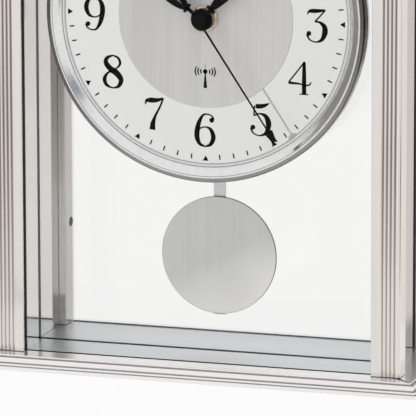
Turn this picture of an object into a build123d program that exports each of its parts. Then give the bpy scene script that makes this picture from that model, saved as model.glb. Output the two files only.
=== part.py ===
from build123d import *
import math
import os

# Desk pendulum clock in millimetres. +Z is up, the dial faces -Y and +X is the viewer's right.
# The origin lies on the table under the middle of the part.
# While the pieces are made, Y is counted from the dial's face, positive to the rear. The last lines
# move everything back by half of the depth.

# Case: heights and widths
FOOT_H = 1.0                  # rubber pads under the base
FOOT_R = 6.0
FLOOR_TO_DIAL = 137.1         # floor plate to dial axis
DIAL_TO_CEILING = 74.0        # dial axis to ceiling plate
WALL_HALF = 74.6              # dial axis to the inner face of a side wall
WALL_T = 1.0
CASE_D = 61.4                 # from the front columns' face to the rear face
FIT = 0.1                     # gap between pieces that are put together by hand
CUT = 1.0                     # how far a cut goes past the face that it opens

# Columns: plan of the front right one, the others mirror it
COLUMN_LIP = 2.3              # from the wall's inner face inwards, in front of the glass
COLUMN_W = 9.6                # from the wall's inner face outwards
COLUMN_D = 8.5
LIP_T = 2.8                   # lip in front of the glass
FLUTE_START = 2.4             # first flute from the wall's inner face
FLUTE_MARGIN = 0.85           # last flute to the rounded edge
FLUTE_COUNT = 4
FLUTE_W = 0.8
FLUTE_D = 0.7
CORNER_R = 1.4                # rounded outer edge

# Glass panes, by the depth of their front faces
FRONT_GLASS_T = 2.0
DIAL_GLASS_Y = 10.0
DIAL_GLASS_T = 3.0
DOOR_T = 2.5

# Reeded edge of the base and top frames, from the flat land outwards
LAND_OVERHANG = 6.2           # from the columns to the edge of the land
LAND_EDGE = 0.6
GROOVE_H = 0.3
GROOVE_D = 0.5
REED_H = (1.95, 0.8, 1.6)
REED_OUT = (1.4, 2.5, 3.1)
REED_EASE = 0.25              # eased edge of each reed
TOP_SHEET_T = 1.0             # sheet that closes the top and hides the screws
TOP_SHEET_INSET = 0.8

# Rear posts, door and its fittings
POST_T = 3.0
POST_D = 9.0
STOP_R = 2.0
STOP_L = 1.0
STOP_INSET = 42.3             # from the floor and from the ceiling
DOOR_GAP = 0.3                # between the closed door and its stops
DOOR_EDGE = 0.6               # between the door and the frame around it
DOOR_AXIS_INSET = 3.1         # pivot from the edge of the door
SHOE_W = 7.0
SHOE_INSET = 0.8              # from the edge of the glass, so that the shoe turns clear of the post
SHOE_H = 10.0
SHOE_SKIN = 0.6               # metal on each side of the glass
SHOE_FOOT = 4.0               # part of the shoe below the glass
PIVOT_R = 1.0
PIVOT_PLAY = 0.05
PIVOT_UP = 3.0
PIVOT_DOWN = 3.5
KNOB_INSET = 9.7              # knob from the other edge
KNOB_L = 5.0
KNOB_R = 4.5
KNOB_STEM_R = 1.6
KNOB_RIVET_R = 3.0
KNOB_RIVET_T = 0.8
KNOB_PROFILE = ((0.0, 0.0), (0.9, 0.0), (0.7, 0.3), (0.7, 0.5),
                (1.0, 0.7), (1.0, 0.9), (0.8, 1.0), (0.0, 1.0))   # shares of radius and length

# Screws that hold the columns
SCREW_R = 1.25
SCREW_HEAD_R = 2.5
SCREW_HEAD_H = 1.6
SCREW_L = 11.0
SCREW_INSET = 4.0             # from the column's front and outer faces

# Dial head
DIAL_T = 1.0
CENTRE_DISC_R = 36.0
CENTRE_DISC_T = 0.3
REFLECTOR_W = 1.9
REFLECTOR_H = 0.9
BEZEL_R = 66.0
BEZEL_FACE = 5.8              # width of the bezel seen from the front
BEZEL_WALL = 2.2
CREST_INSET = 1.5             # crest from the rim
BEZEL_CREST = 3.0             # height of the crest in front of the dial
BEZEL_INNER_EASE = (0.8, 0.25)   # from the crest: inward and back
BEZEL_OUTER_EASE = (0.5, 0.7)    # from the rim and the crest
BEZEL_RIM = 1.9               # from the crest back to the straight rim
CUP_R = 52.0
CUP_WALL = 1.6
CUP_FLANGE_T = 1.0
CUP_FLANGE_IN = 44.0
GLASS_HOLE_PLAY = 0.5
RING_W = 5.0
RING_T = 1.6

# Hands
BUSH_R = 4.0
BUSH_FLANGE_R = 6.0
BUSH_FRONT = 4.2              # bush end in front of the dial
NUT_R = 5.6                   # over corners
NUT_T = 2.4
HAND_T = 0.5
SECOND_T = 0.3
SECOND_SOCKET = 0.2           # skin in front of the second hand's arbor
HOUR_GAP = 0.9                # between the bush and the hour hand
HAND_STEP = 1.5               # hour hand to minute hand
SECOND_STEP = 1.4             # minute hand to second hand
HAND_TO_GLASS = 0.9           # second hand to the front glass
HOUR_LENGTH = 34.0
MINUTE_LENGTH = 50.0
SECOND_LENGTH = 56.6
HOUR_ANGLE = 308.0            # clockwise from twelve
MINUTE_ANGLE = 44.0
SECOND_ANGLE = 146.3
HOUR_HUB_R = 4.0
MINUTE_HUB_R = 3.6
SECOND_HUB_R = 3.0
SECOND_HUB_T = 0.6
NECK_W = 1.6
COLLAR = (4.2, 1.3, 0.6)      # small cross collar: width, height, corner radius
LEAF_BELLY = 0.36             # widest place of a leaf as a share of its length
HOUR_COLLAR_AT = 8.0
HOUR_LEAF_HALF = 3.0
HOUR_SLIT = (3.5, 17.0, 0.6)  # start and end from the collar, half width
MINUTE_COLLAR_AT = 6.4
MINUTE_LEAF_HALF = 2.3
MINUTE_SLIT = (4.0, 26.0, 0.5)
NEEDLE_HALF = (0.55, 0.4)     # at the hub and at the feather
NEEDLE_END = 5.0              # from the tip
FEATHER = ((0.4, -6.6), (1.5, -6.2), (0.85, -2.0), (1.1, 0.0), (0.0, -0.9))   # right half, from the tip

# Movement: case, and depths of the layers behind the dial
WASHER_T = 0.8
WASHER_R = 9.0
SHELL = 1.5                   # walls of the movement case and its cover
BATTERY_R = 7.25
BATTERY_L = 50.5
NUB_L = 1.0
NUB_R = 2.75
CONTACT_T = 1.15
CONTACT_W = 9.0
BAY_UP = 10.5                 # dial axis to the floor of the battery bay
RUN = 0.05                    # running clearance of arbors, all round
ARBOR_R = 0.4
SECOND_ARBOR_R = 0.6
TUBE_WALL = 0.85              # wall of the minute tube
HOUR_TUBE_WALL = 0.95
MOTION_STUD_R = 0.7
WHEEL_T = 0.8
LAYER_GAP = 0.5               # free space between layers of wheels
TRAIN_PLATE_T = 0.6
PILLAR_R = 1.4
PILLAR_UP = 6.0               # upper pillar above the dial axis

# Gear trains
MOTION_MODULE = 0.4
CANNON_TEETH = 10
MOTION_TEETH = 30
MOTION_PINION_TEETH = 8
HOUR_TEETH = 32
TRAIN_MODULE = 0.25
MINUTE_TEETH = 60
SECOND_MODULE = 0.3
SECOND_TEETH = 40
IDLER_TEETH = 48
PINION_TEETH = 8
MOTION_WHEEL_ANGLE = 0.0        # degrees, directions of the arbors seen from the front
MINUTES_TRAIN_ANGLE = 200.0
SECONDS_TRAIN_ANGLE = 300.0
TIP = 0.90                    # tooth heights in modules
ROOT = 1.15
TIP_SHARE = 0.13              # half widths of a tooth in pitches
ROOT_SHARE = 0.29

# Motors, board and aerial
MAGNET_R = 2.5
MAGNET_T = 1.6
STATOR_T = 0.8
STATOR_W = 9.0
STATOR_GAP = 0.4
STATOR_ARM_W = 4.0
ARM_END = 1.5                 # end of the arm past the coil
MOTOR_GAP = 0.4               # between an arm and the wall of the case
COIL_W = 7.6
COIL_H = 3.0
COIL_OFFSET = 6.5             # from the rotor's axis to the coil
BOARD_H = 6.5
BOARD_T = 1.2
AERIAL_R = 2.4
AERIAL_L = 34.0
DRIVE_COIL_R = 4.2
DRIVE_COIL_BORE = 1.5
DRIVE_COIL_T = 3.0
DRIVE_COIL_GAP = 0.3          # between the drive coil and the lower wall

# Pendulum
PIVOT_DROP = 14.0             # dial axis to the pendulum's pivot
PIVOT_PIN_R = 1.5
PIVOT_HEAD_R = 2.4
PIVOT_HEAD_T = 0.8
PIVOT_END_PLAY = 0.2          # between the hanger and the pin's head
BOB_UP = 37.8                 # middle of the bob above the floor
BOB_R = 24.0
BOB_T = 1.2
HANGER_GAP = 0.6              # between the movement's cover and the drive magnet
ROD_W = 5.0
ROD_T = 0.8
ROD_BELOW = 0.6               # rod's end below the bob
HANGER_W = 9.0
HANGER_TOP = 4.5              # above the pivot
HANGER_DOWN = 22.0            # below the pivot
HANGER_SOCKET = 8.0
HANGER_SKIN = 0.7
MAGNET_DROP = 8.0             # drive magnet below the pivot
MAGNET_BOSS_R = 3.0
MAGNET_BOSS_T = 0.9

# Buttons on the movement's cover
BUTTON_X = 19.0
BUTTON_UP = 4.5
BUTTON_STEM_R = 1.4
BUTTON_CAP_R = 2.5
BUTTON_CAP_T = 2.0
BUTTON_TRAVEL = 0.8
BUTTON_FLANGE_R = 2.0
BUTTON_FLANGE_T = 0.5
BUTTON_GAP = 0.3

# Worked out from the sizes above
BASE_H = LAND_EDGE + sum(REED_H) + GROOVE_H * len(REED_H)
FLOOR_Z = FOOT_H + BASE_H
DIAL_Z = FLOOR_Z + FLOOR_TO_DIAL
CEILING_Z = DIAL_Z + DIAL_TO_CEILING
TOP_Z = CEILING_Z + BASE_H
COLUMN_IN = WALL_HALF - COLUMN_LIP
COLUMN_OUT = WALL_HALF + COLUMN_W
FLUTE_PITCH = (COLUMN_W - CORNER_R - FLUTE_MARGIN - FLUTE_START) / (FLUTE_COUNT - 1)

BEZEL_IN = BEZEL_R - BEZEL_FACE
BEZEL_CREST_R = BEZEL_R - CREST_INSET
DIAL_R = BEZEL_R - BEZEL_WALL
REFLECTOR_IN = BEZEL_IN - REFLECTOR_W
HOUR_Y = -(BUSH_FRONT + HOUR_GAP + HAND_T)      # front faces of the hands
MINUTE_Y = HOUR_Y - HAND_STEP
SECOND_Y = MINUTE_Y - SECOND_STEP

FRONT_SEAM = SECOND_Y - HAND_TO_GLASS           # rear face of the front glass
FRONT_GLASS_Y = FRONT_SEAM - FRONT_GLASS_T
COLUMN_FRONT = FRONT_GLASS_Y - LIP_T
REAR_Y = COLUMN_FRONT + CASE_D
DOOR_Y = REAR_Y - DOOR_T
WALL_REAR = REAR_Y - LIP_T - FIT
DOOR_HALF = COLUMN_IN - DOOR_EDGE
DOOR_AXIS_X = DOOR_HALF - DOOR_AXIS_INSET
KNOB_X = KNOB_INSET - DOOR_HALF
FRONT_EDGE = COLUMN_FRONT - LAND_OVERHANG
SIDE_EDGE = COLUMN_OUT + LAND_OVERHANG
MID_Y = (FRONT_EDGE - REED_OUT[-1] + REAR_Y + KNOB_L) / 2

SHELL_FRONT = DIAL_T + WASHER_T
SHELL_INNER = SHELL_FRONT + SHELL
HOUR_WHEEL_Y = SHELL_INNER + 2 * LAYER_GAP
CANNON_Y = HOUR_WHEEL_Y + WHEEL_T + LAYER_GAP
MINUTE_WHEEL_Y = CANNON_Y + WHEEL_T + LAYER_GAP
TRAIN_PLATE_Y = MINUTE_WHEEL_Y + WHEEL_T + LAYER_GAP
SECOND_WHEEL_Y = TRAIN_PLATE_Y + TRAIN_PLATE_T + LAYER_GAP
MINUTES_LAYER = SECOND_WHEEL_Y + WHEEL_T + LAYER_GAP
SECONDS_LAYER = MINUTES_LAYER + WHEEL_T + LAYER_GAP
SECONDS_MAGNET_Y = SECONDS_LAYER - LAYER_GAP - MAGNET_T
COVER_FRONT = SECONDS_LAYER + WHEEL_T + LAYER_GAP + MAGNET_T
COVER_REAR = COVER_FRONT + SHELL
MOVEMENT_HALF = BATTERY_L / 2 + FIT + CONTACT_T + SHELL
MOVEMENT_DOWN = PIVOT_DROP + MAGNET_DROP + DRIVE_COIL_R + DRIVE_COIL_GAP + SHELL
BATTERY_UP = BAY_UP + FIT + BATTERY_R
MOVEMENT_UP = BATTERY_UP + BATTERY_R + FIT + SHELL

BOB_DROP = FLOOR_TO_DIAL - BOB_UP
BOB_REAR_Y = COVER_REAR + HANGER_GAP + MAGNET_BOSS_T + HANGER_SKIN

MINUTE_TUBE_IN = SECOND_ARBOR_R + RUN
MINUTE_TUBE_R = MINUTE_TUBE_IN + TUBE_WALL
HOUR_TUBE_IN = MINUTE_TUBE_R + RUN
HOUR_TUBE_R = HOUR_TUBE_IN + HOUR_TUBE_WALL
BUSH_IN = HOUR_TUBE_R + RUN
ARBOR_DEPTH = SHELL / 2       # how far an arbor reaches into a wall
BEARING_DEPTH = SHELL * 2 / 3    # depth of the blind hole around it


def on_circle(distance, degrees, centre=(0.0, 0.0)):
    """Point at a distance and direction, seen from the front."""
    angle = math.radians(degrees)
    return (centre[0] + distance * math.cos(angle), centre[1] + distance * math.sin(angle))


def gear_distance(module, teeth_a, teeth_b):
    """Distance between the axes of two gears in mesh."""
    return module * (teeth_a + teeth_b) / 2


MOTION_AXIS = on_circle(gear_distance(MOTION_MODULE, CANNON_TEETH, MOTION_TEETH), MOTION_WHEEL_ANGLE)
MINUTES_AXIS = on_circle(gear_distance(TRAIN_MODULE, MINUTE_TEETH, PINION_TEETH), MINUTES_TRAIN_ANGLE)
SECONDS_AXIS = on_circle(gear_distance(SECOND_MODULE, SECOND_TEETH, PINION_TEETH), SECONDS_TRAIN_ANGLE)
ROTOR_DISTANCE = gear_distance(TRAIN_MODULE, IDLER_TEETH, PINION_TEETH)
MINUTES_ROTOR_AXIS = on_circle(ROTOR_DISTANCE, MINUTES_TRAIN_ANGLE, MINUTES_AXIS)
SECONDS_ROTOR_AXIS = on_circle(ROTOR_DISTANCE, SECONDS_TRAIN_ANGLE, SECONDS_AXIS)
ROOM_ASIDE = MOVEMENT_HALF - SHELL - MOTOR_GAP - SECONDS_ROTOR_AXIS[0]
ROOM_BELOW = MOVEMENT_DOWN - SHELL - MOTOR_GAP + MINUTES_ROTOR_AXIS[1]
MOTOR_REACH = min(ROOM_ASIDE, ROOM_BELOW)       # both motors are alike, so the narrower room counts
STATOR_ARM = MOTOR_REACH - STATOR_W / 2
COIL_L = MOTOR_REACH - COIL_OFFSET - ARM_END

nodes = {}


# Building blocks

def block(x0, x1, y0, y1, z0, z1):
    """Box between two corners."""
    return Pos((x0 + x1) / 2, (y0 + y1) / 2, (z0 + z1) / 2) * Box(x1 - x0, y1 - y0, z1 - z0)


def rod_z(radius, z0, z1, x, y):
    """Upright cylinder."""
    return Pos(x, y, (z0 + z1) / 2) * Cylinder(radius, z1 - z0)


def rod_y(radius, y0, y1, x=0.0, z=0.0):
    """Cylinder from front to back, placed from the dial axis."""
    return Pos(x, (y0 + y1) / 2, DIAL_Z + z) * Rot(90, 0, 0) * Cylinder(radius, y1 - y0)


def bore_y(radius, y0, y1, x=0.0, z=0.0):
    """Cut through a piece that reaches from one depth to another."""
    return rod_y(radius, y0 - CUT, y1 + CUT, x, z)


def rod_x(radius, x0, x1, y, z):
    """Cylinder from left to right, placed from the dial axis."""
    return Pos((x0 + x1) / 2, y, DIAL_Z + z) * Rot(0, 90, 0) * Cylinder(radius, x1 - x0)


def cell(x0, x1, y0, y1, z0, z1):
    """Box whose heights are counted from the dial axis."""
    return block(x0, x1, y0, y1, DIAL_Z + z0, DIAL_Z + z1)


def slab(sketch, y0, y1, x=0.0, z=0.0):
    """Sketch drawn as seen from the front, from one depth to another, placed from the dial axis."""
    back = Plane((x, y1, DIAL_Z + z), x_dir=(1, 0, 0), z_dir=(0, -1, 0))
    return extrude(back * sketch, amount=y1 - y0, dir=(0, -1, 0))


def outline(points):
    """Flat face inside a closed row of points."""
    return make_face(Polyline(*points, close=True))


def turned(points):
    """Ring turned about the dial axis from points of (radius, depth)."""
    return revolve(Pos(0, 0, DIAL_Z) * outline(points), Axis((0, 0, DIAL_Z), (0, 1, 0)))


def upright(points, z0, z1):
    """Plan of (x, y) points raised from one height to another."""
    return extrude(Pos(0, 0, z0) * outline(points), amount=z1 - z0, dir=(0, 0, 1))


# Base and top frames

def reeded_edge(inner):
    """Rail section as (outward, down) points: flat land, then three reeds that step outwards."""
    points = [(-inner, 0.0), (-REED_EASE, 0.0), (0.0, -REED_EASE)]
    out = 0.0
    down = -LAND_EDGE
    for height, reach in zip(REED_H, REED_OUT):
        points += [(out, down), (out - GROOVE_D, down)]
        down -= GROOVE_H
        points += [(out - GROOVE_D, down), (reach - REED_EASE, down), (reach, down - REED_EASE)]
        out = reach
        down -= height
    return points + [(out, down), (-inner, down)]


def front_plan():
    """Plan of the front rail: its ends are mitred and its rear edge is the seam of the front glass."""
    reach = FRONT_SEAM - FRONT_EDGE
    inner = SIDE_EDGE - reach
    outer = SIDE_EDGE + reach
    front = FRONT_EDGE - reach
    return [(-inner, FRONT_SEAM), (inner, FRONT_SEAM), (outer, front), (-outer, front)]


def frame_rails(land_z, way):
    """Front, left and right rails. The land lies at land_z and the reeds go way (-1 down, 1 up)."""
    far_z = land_z + way * BASE_H
    low, high = min(land_z, far_z), max(land_z, far_z)
    corner = upright(front_plan(), low, high)
    half = SIDE_EDGE + REED_OUT[-1]
    edge = reeded_edge(FRONT_SEAM - FRONT_EDGE)
    section = [(0.0, FRONT_EDGE - u, land_z - way * v) for u, v in edge]
    front = extrude(outline(section), amount=half, dir=(1, 0, 0), both=True) & corner
    rails = {"front_rail": front}
    for name, side in (("left_rail", -1), ("right_rail", 1)):
        edge = reeded_edge(SIDE_EDGE - WALL_HALF)
        section = [(side * (SIDE_EDGE + u), 0.0, land_z - way * v) for u, v in edge]
        bar = extrude(outline(section), amount=REAR_Y, dir=(0, 1, 0))
        bar += extrude(outline(section), amount=REED_OUT[-1] - FRONT_EDGE, dir=(0, -1, 0))
        rails[name] = bar - corner
    return rails


def screw_places():
    """Plan positions of the column screws."""
    front = COLUMN_FRONT + SCREW_INSET
    rear = REAR_Y - SCREW_INSET
    return [(side * (COLUMN_OUT - SCREW_INSET), y) for side in (-1, 1) for y in (front, rear)]


def column_screw(x, y, face_z, way):
    """Screw from a frame's outer face into a column, way 1 up or -1 down."""
    head = (face_z, face_z + way * SCREW_HEAD_H)
    shank = (face_z, face_z + way * SCREW_L)
    return (rod_z(SCREW_HEAD_R, min(head), max(head), x, y)
            + rod_z(SCREW_R, min(shank), max(shank), x, y))


def screw_hole(x, y, face_z, way):
    """Counterbored hole around a column screw."""
    head = (face_z - way * CUT, face_z + way * (SCREW_HEAD_H + FIT))
    shank = (face_z, face_z + way * (SCREW_L + FIT))
    return (rod_z(SCREW_HEAD_R + FIT, min(head), max(head), x, y)
            + rod_z(SCREW_R + FIT / 2, min(shank), max(shank), x, y))


def screw_holes():
    holes = []
    for x, y in screw_places():
        holes.append(screw_hole(x, y, FOOT_H, 1))
        holes.append(screw_hole(x, y, TOP_Z, -1))
    return holes


def pivot_pins(radius, reach):
    """Upright pins of the door, out of the floor and ceiling plates."""
    axis_y = DOOR_Y + DOOR_T / 2
    return [rod_z(radius, FLOOR_Z - PIVOT_DOWN - reach, FLOOR_Z + PIVOT_UP + reach, DOOR_AXIS_X, axis_y),
            rod_z(radius, CEILING_Z - PIVOT_UP - reach, CEILING_Z + PIVOT_DOWN + reach, DOOR_AXIS_X, axis_y)]


def make_frames():
    holes = screw_holes()
    for level, land_z, way in (("base", FLOOR_Z, -1), ("top", CEILING_Z, 1)):
        for name, rail in frame_rails(land_z, way).items():
            for hole in holes:
                rail = rail - hole
            nodes[level + "_" + name] = rail
    inner = WALL_HALF - FIT
    front = FRONT_SEAM + FIT
    floor = block(-inner, inner, front, REAR_Y, FOOT_H, FLOOR_Z)
    ceiling = block(-inner, inner, front, REAR_Y, CEILING_Z, TOP_Z)
    lower_pin, upper_pin = pivot_pins(PIVOT_R, 0.0)
    nodes["floor_plate"] = floor - lower_pin
    nodes["ceiling_plate"] = ceiling - upper_pin
    reach = REED_OUT[-1] - TOP_SHEET_INSET
    nodes["top_sheet"] = block(-SIDE_EDGE - reach, SIDE_EDGE + reach, FRONT_EDGE - reach, REAR_Y,
                               TOP_Z, TOP_Z + TOP_SHEET_T)
    screws = []
    pads = []
    for x, y in screw_places():
        screws.append(column_screw(x, y, FOOT_H, 1))
        screws.append(column_screw(x, y, TOP_Z, -1))
        pad_y = y + math.copysign(SCREW_HEAD_R + FIT + FOOT_R, -y)
        pads.append(rod_z(FOOT_R, 0.0, FOOT_H, x, pad_y))
    nodes["column_screws"] = Compound(screws)
    nodes["foot_pads"] = Compound(pads)


# Columns, walls and posts

def column_plan(side, rear):
    """Plan of a fluted column. The lip stands in front of the glass, the body beside the wall."""
    body_in = WALL_HALF + WALL_T + FIT
    face = COLUMN_FRONT
    points = [(COLUMN_IN, face + LIP_T), (COLUMN_IN, face)]
    for k in range(FLUTE_COUNT):
        x = WALL_HALF + FLUTE_START + k * FLUTE_PITCH
        points += [(x - FLUTE_W / 2, face), (x, face + FLUTE_D), (x + FLUTE_W / 2, face)]
    for degrees in (0, 30, 60, 90):
        turn = math.radians(degrees)
        points.append((COLUMN_OUT - CORNER_R * (1 - math.sin(turn)), face + CORNER_R * (1 - math.cos(turn))))
    points += [(COLUMN_OUT, face + COLUMN_D), (body_in, face + COLUMN_D), (body_in, face + LIP_T)]
    if rear:
        points = [(x, REAR_Y + COLUMN_FRONT - y) for x, y in points]
    return [(side * x, y) for x, y in points]


def make_walls():
    holes = screw_holes()
    for name, side, rear in (("front_left", -1, False), ("front_right", 1, False),
                             ("rear_left", -1, True), ("rear_right", 1, True)):
        column = upright(column_plan(side, rear), FLOOR_Z, CEILING_Z)
        for hole in holes:
            column = column - hole
        nodes[name + "_column"] = column
    wall_front = FRONT_GLASS_Y + FIT
    for name, side in (("left", -1), ("right", 1)):
        x0, x1 = sorted((side * WALL_HALF, side * (WALL_HALF + WALL_T)))
        nodes[name + "_side_wall"] = block(x0, x1, wall_front, WALL_REAR, FLOOR_Z, CEILING_Z)
    posts = []
    for side in (-1, 1):
        x0, x1 = sorted((side * (WALL_HALF - POST_T), side * WALL_HALF))
        posts.append(block(x0, x1, WALL_REAR - POST_D, WALL_REAR, FLOOR_Z, CEILING_Z))
    nodes["rear_posts"] = Compound(posts)
    stop_y = DOOR_Y - DOOR_GAP - STOP_R
    stop_x = POST_T - WALL_HALF
    nodes["door_stops"] = Compound([rod_x(STOP_R, stop_x, stop_x + STOP_L, stop_y, z - DIAL_Z)
                                    for z in (FLOOR_Z + STOP_INSET, CEILING_Z - STOP_INSET)])


def make_glass():
    half = WALL_HALF - 2 * FIT
    low, high = FLOOR_Z, CEILING_Z
    nodes["front_glass"] = block(-half, half, FRONT_GLASS_Y, FRONT_SEAM, low, high)
    pane = block(-half, half, DIAL_GLASS_Y, DIAL_GLASS_Y + DIAL_GLASS_T, low, high)
    hole = bore_y(CUP_R + GLASS_HOLE_PLAY, DIAL_GLASS_Y, DIAL_GLASS_Y + DIAL_GLASS_T)
    nodes["dial_glass"] = pane - hole


# Rear door

def make_door():
    half = DOOR_HALF
    low, high = FLOOR_Z + DOOR_EDGE, CEILING_Z - DOOR_EDGE
    shoe_x = (half - SHOE_INSET - SHOE_W, half - SHOE_INSET)
    shoe_y = (DOOR_Y - SHOE_SKIN, REAR_Y + SHOE_SKIN)
    glass = block(-half, half, DOOR_Y, REAR_Y, low, high)
    shoes = []
    for z0, z1, foot0, foot1 in ((low, low + SHOE_H, low, low + SHOE_FOOT),
                                 (high - SHOE_H, high, high - SHOE_FOOT, high)):
        shoes.append(block(*shoe_x, *shoe_y, z0, z1))
        glass = glass - block(shoe_x[0], half, DOOR_Y - CUT, REAR_Y + CUT, foot0, foot1)
    for pin in pivot_pins(PIVOT_R + PIVOT_PLAY, DOOR_EDGE):
        shoes = [shoe - pin for shoe in shoes]
    nodes["door_hinge_shoes"] = Compound([shoe - glass for shoe in shoes])
    nodes["door_pivot_pins"] = Compound(pivot_pins(PIVOT_R, 0.0))
    stem = rod_y(KNOB_STEM_R, DOOR_Y, REAR_Y, KNOB_X)
    nodes["rear_door"] = glass - bore_y(KNOB_STEM_R + FIT, DOOR_Y, REAR_Y, KNOB_X)
    rivet = rod_y(KNOB_RIVET_R, DOOR_Y - KNOB_RIVET_T, DOOR_Y, KNOB_X)
    profile = [(KNOB_R * across, REAR_Y + KNOB_L * along) for across, along in KNOB_PROFILE]
    nodes["door_knob"] = Pos(KNOB_X, 0, 0) * turned(profile) + stem + rivet


# Dial head

def make_dial_head():
    hole = rod_y(BUSH_R + FIT, -BUSH_FRONT, SHELL_FRONT)
    nodes["dial_plate"] = rod_y(DIAL_R - FIT, 0.0, DIAL_T) - hole
    nodes["dial_centre_disc"] = rod_y(CENTRE_DISC_R, -CENTRE_DISC_T, 0.0) - hole
    nodes["reflector_ring"] = turned([(REFLECTOR_IN, 0.0), (BEZEL_IN, 0.0), (BEZEL_IN, -REFLECTOR_H)])
    crest = -BEZEL_CREST
    nodes["bezel"] = turned([
        (BEZEL_IN, 0.0), (BEZEL_IN, -REFLECTOR_H),
        (BEZEL_CREST_R - BEZEL_INNER_EASE[0], crest + BEZEL_INNER_EASE[1]), (BEZEL_CREST_R, crest),
        (BEZEL_R - BEZEL_OUTER_EASE[0], crest + BEZEL_OUTER_EASE[1]), (BEZEL_R, crest + BEZEL_RIM),
        (BEZEL_R, DIAL_GLASS_Y), (DIAL_R, DIAL_GLASS_Y), (DIAL_R, 0.0)])
    flange_y = (DIAL_T, DIAL_T + CUP_FLANGE_T)
    cup_rear = DIAL_GLASS_Y + DIAL_GLASS_T + RING_T
    nodes["insert_cup"] = turned([
        (CUP_FLANGE_IN, flange_y[0]), (DIAL_R - FIT, flange_y[0]), (DIAL_R - FIT, flange_y[1]),
        (CUP_R, flange_y[1]), (CUP_R, cup_rear), (CUP_R - CUP_WALL, cup_rear),
        (CUP_R - CUP_WALL, flange_y[1]),
        (CUP_FLANGE_IN, flange_y[1])])
    ring_y = (DIAL_GLASS_Y + DIAL_GLASS_T, cup_rear)
    nodes["retaining_ring"] = turned([(CUP_R + FIT / 2, ring_y[0]), (CUP_R + RING_W, ring_y[0]),
                                      (CUP_R + RING_W, ring_y[1]), (CUP_R + FIT / 2, ring_y[1])])


# Hands

def leaf(start, end, half_width, half_root):
    """Pointed leaf between two distances from the hub."""
    belly = start + (end - start) * LEAF_BELLY
    right = ThreePointArc((half_root, start), (half_width, belly), (0.0, end))
    left = ThreePointArc((0.0, end), (-half_width, belly), (-half_root, start))
    return make_face([right, left, Line((-half_root, start), (half_root, start))])


def leaf_hand(length, hub_r, bore_r, collar_at, half_width, slit):
    """Hub, neck, small cross collar and a leaf with a slit, pointing to twelve."""
    slit_start, slit_end, slit_half = slit
    collar = Pos(0, collar_at) * RectangleRounded(*COLLAR)
    neck = Pos(0, collar_at / 2) * Rectangle(NECK_W, collar_at)
    blade = leaf(collar_at, length, half_width, NECK_W / 2)
    blade = blade - leaf(collar_at + slit_start, collar_at + slit_end, slit_half, slit_half / 3)
    return Circle(hub_r) + neck + collar + blade - Circle(bore_r)


def second_sketch():
    """Thin needle with a feathered tip and no tail, pointing to twelve."""
    root, tip = NEEDLE_HALF
    end = SECOND_LENGTH - NEEDLE_END
    needle = [(-root, 0.0), (root, 0.0), (tip, end), (-tip, end)]
    right = [(x, SECOND_LENGTH + y) for x, y in FEATHER]
    left = [(-x, y) for x, y in reversed(right[:-1])]
    return Circle(SECOND_HUB_R) + outline(needle) + outline(right + left)


def make_hands():
    hour = leaf_hand(HOUR_LENGTH, HOUR_HUB_R, HOUR_TUBE_R, HOUR_COLLAR_AT, HOUR_LEAF_HALF, HOUR_SLIT)
    minute = leaf_hand(MINUTE_LENGTH, MINUTE_HUB_R, MINUTE_TUBE_R, MINUTE_COLLAR_AT, MINUTE_LEAF_HALF,
                       MINUTE_SLIT)
    nodes["hour_hand"] = slab(Rot(0, 0, -HOUR_ANGLE) * hour, HOUR_Y, HOUR_Y + HAND_T)
    nodes["minute_hand"] = slab(Rot(0, 0, -MINUTE_ANGLE) * minute, MINUTE_Y, MINUTE_Y + HAND_T)
    second = slab(Rot(0, 0, -SECOND_ANGLE) * second_sketch(), SECOND_Y, SECOND_Y + SECOND_T)
    cap = rod_y(SECOND_HUB_R, SECOND_Y, SECOND_Y + SECOND_HUB_T)
    nodes["second_hand"] = second + cap - rod_y(SECOND_ARBOR_R, SECOND_Y + SECOND_SOCKET, 0.0)
    nut = slab(RegularPolygon(NUT_R, 6) - Circle(BUSH_R + RUN), -CENTRE_DISC_T - NUT_T, -CENTRE_DISC_T)
    nodes["fixing_nut"] = nut


# Gears

def gear(teeth, module, phase):
    """Sketch of a gear with straight sided teeth, one of them at the phase angle in degrees."""
    pitch = 2 * math.pi / teeth
    tip_r = module * (teeth / 2 + TIP)
    root_r = module * (teeth / 2 - ROOT)
    corners = ((root_r, -ROOT_SHARE), (tip_r, -TIP_SHARE), (tip_r, TIP_SHARE), (root_r, ROOT_SHARE))
    points = []
    for k in range(teeth):
        for radius, share in corners:
            angle = math.radians(phase) + (k + share) * pitch
            points.append((radius * math.cos(angle), radius * math.sin(angle)))
    return outline(points)


def wheel(teeth, module, phase, front, axis=(0.0, 0.0), thickness=WHEEL_T):
    """Gear in one layer of the movement."""
    return slab(gear(teeth, module, phase), front, front + thickness, *axis)


def facing(teeth, direction):
    """Phase of a gear whose gap faces the gear that it is driven by, which lies opposite the direction."""
    return direction + 180.0 + 180.0 / teeth


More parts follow.
